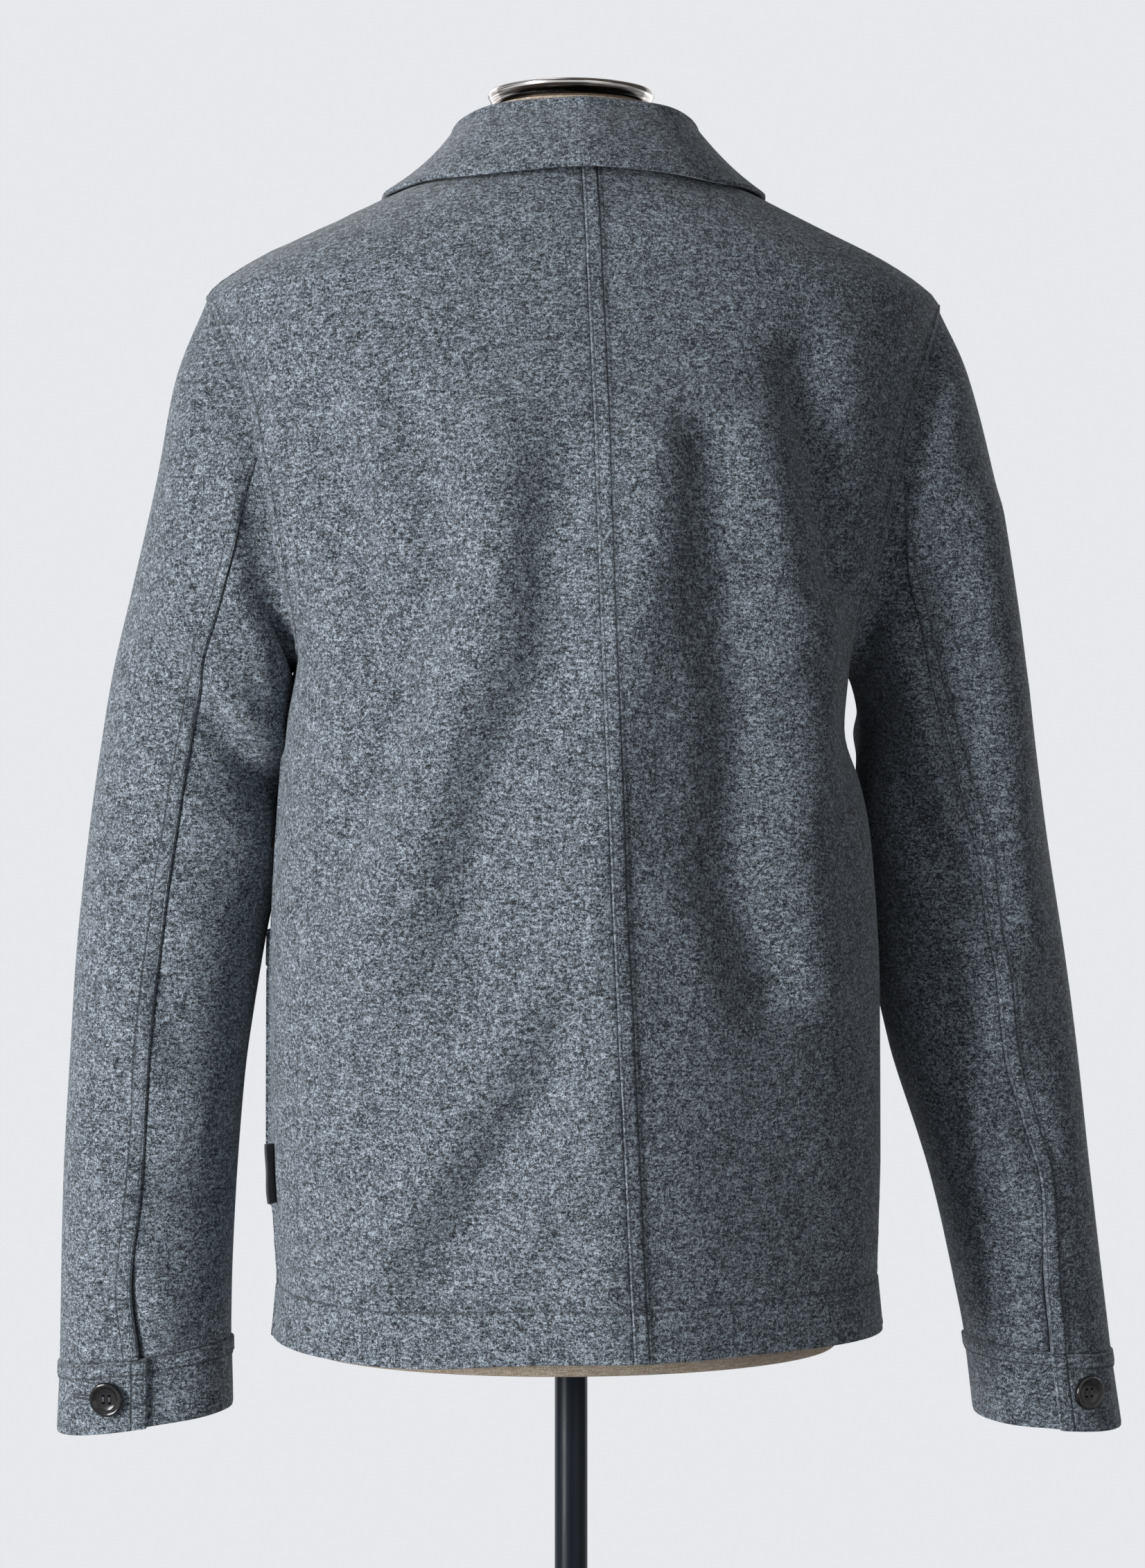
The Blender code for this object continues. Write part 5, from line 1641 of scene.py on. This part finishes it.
class StepOperator:
    """What the coat's operators have in common."""

    bl_options = {"REGISTER", "UNDO"}

    def execute(self, context):
        for step in self.steps:
            step()
        return {"FINISHED"}


class COAT_OT_finishes(bpy.types.Operator):
    """Mixes the wool, thread, horn, linen, chrome, steel and ribbon"""

    bl_idname = "coat.finishes"
    bl_label = "Finishes"

    def execute(self, context):
        choices = context.scene.coat_colours
        for mixed in (wool_finish, thread_finish, horn_finish, linen_finish):
            mixed(choices)
        chrome_finish()
        steel_finish()
        ribbon_finish()
        return {"FINISHED"}


class COAT_OT_form(StepOperator, bpy.types.Operator):
    """Builds the linen form, its chrome cap, the pole and the base"""

    bl_idname = "coat.form"
    bl_label = "Form and stand"
    steps = (dress_form, dress_stand)


class COAT_OT_backs(StepOperator, bpy.types.Operator):
    """Drapes the two back panels"""

    bl_idname = "coat.backs"
    bl_label = "Backs"
    steps = (dress_backs,)


class COAT_OT_fronts(StepOperator, bpy.types.Operator):
    """Drapes the two front panels and their buttons"""

    bl_idname = "coat.fronts"
    bl_label = "Fronts"
    steps = (dress_fronts, dress_front_buttons)


class COAT_OT_sleeves(StepOperator, bpy.types.Operator):
    """Hangs the top and under sleeves"""

    bl_idname = "coat.sleeves"
    bl_label = "Sleeves"
    steps = (dress_sleeves,)


class COAT_OT_cuffs(StepOperator, bpy.types.Operator):
    """Wraps the cuffs and buttons them"""

    bl_idname = "coat.cuffs"
    bl_label = "Cuffs"
    steps = (dress_cuffs,)


class COAT_OT_collar(StepOperator, bpy.types.Operator):
    """Turns the collar down over the neckline"""

    bl_idname = "coat.collar"
    bl_label = "Collar"
    steps = (dress_collar,)


class COAT_OT_pockets(StepOperator, bpy.types.Operator):
    """Sews on the patch pockets and the bare side label"""

    bl_idname = "coat.pockets"
    bl_label = "Pockets and label"
    steps = (dress_pockets, dress_label)


class COAT_OT_stage(bpy.types.Operator):
    """Sets the floor, the soft lights and the camera"""

    bl_idname = "coat.stage"
    bl_label = "Stage"

    def execute(self, context):
        choices = context.scene.coat_stage
        scene = context.scene
        scene.view_settings.view_transform = "Standard"
        steps = 128
        turn = np.linspace(0.0, 2.0 * math.pi, steps, endpoint=False)
        mesh = bpy.data.meshes.new("pale_floor")
        x, y = FLOOR_RADIUS * np.cos(turn), FLOOR_RADIUS * np.sin(turn)
        ring = np.stack([x, y, np.full(steps, FLOOR_LEVEL)], axis=1)
        mesh.from_pydata(ring.tolist(), [], [range(steps)])
        floor = bpy.data.objects.new("pale_floor", mesh)
        scene.collection.objects.link(floor)
        paint = Finish("pale_floor", specular_ior_level=0.2)
        paint.colour(paint.blend(paint.noise(6.0), (0.66, 0.665, 0.68), (0.70, 0.705, 0.72)))
        paint.roughness(paint.spread(paint.noise(40.0), 0.3, 0.7, 0.7, 0.9))
        mesh.materials.append(paint.material)
        world = bpy.data.worlds.new("pale_backdrop")
        world.use_nodes = True
        background = world.node_tree.nodes["Background"]
        background.inputs["Color"].default_value = (*choices.backdrop, 1.0)
        background.inputs["Strength"].default_value = 1.0
        world.cycles_visibility.diffuse = False
        scene.world = world
        middle = (0.0, 0.0, 0.80)
        add_soft_light("key", (2.36, 1.71, 0.95), middle, (0.8, 1.4), choices.key_power)
        add_soft_light("overhead", (0.2, 0.9, 2.9), middle, (2.0, 1.6), choices.fill_power)
        add_soft_light("behind_left", (1.6, -2.2, 1.3), middle, (1.6, 2.0), 26.0)
        add_soft_light("behind_right", (-1.8, -2.0, 1.3), middle, (1.6, 2.0), 20.0)
        add_soft_light("right_fill", (-1.5, 2.3, 1.0), middle, (2.0, 2.0), 10.0)
        add_camera()
        return {"FINISHED"}


OPERATORS = (
    COAT_OT_finishes,
    COAT_OT_form,
    COAT_OT_backs,
    COAT_OT_fronts,
    COAT_OT_sleeves,
    COAT_OT_cuffs,
    COAT_OT_collar,
    COAT_OT_pockets,
    COAT_OT_stage,
)


class COAT_PT_sidebar(bpy.types.Panel):
    """The coat's steps and choices"""

    bl_idname = "COAT_PT_sidebar"
    bl_label = "Short coat"
    bl_space_type = "VIEW_3D"
    bl_region_type = "UI"
    bl_category = "Coat"

    def draw(self, context):
        layout = self.layout
        for operator in OPERATORS:
            layout.operator(operator.bl_idname)
        scene = context.scene
        for group in (scene.coat_sizes, scene.coat_colours, scene.coat_stage):
            box = layout.box()
            for name in group.bl_rna.properties.keys():
                if name not in ("rna_type", "name"):
                    box.prop(group, name)


CLASSES = (CoatSizes, CoatColours, StageChoices, *OPERATORS, COAT_PT_sidebar)


def register():
    for each in CLASSES:
        bpy.utils.register_class(each)
    bpy.types.Scene.coat_sizes = PointerProperty(type=CoatSizes)
    bpy.types.Scene.coat_colours = PointerProperty(type=CoatColours)
    bpy.types.Scene.coat_stage = PointerProperty(type=StageChoices)


def unregister():
    del bpy.types.Scene.coat_sizes
    del bpy.types.Scene.coat_colours
    del bpy.types.Scene.coat_stage
    for each in reversed(CLASSES):
        bpy.utils.unregister_class(each)


def main():
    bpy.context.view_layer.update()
    register()
    for operator in OPERATORS:
        group, name = operator.bl_idname.split(".")
        getattr(getattr(bpy.ops, group), name)()


if __name__ == "__main__":
    main()
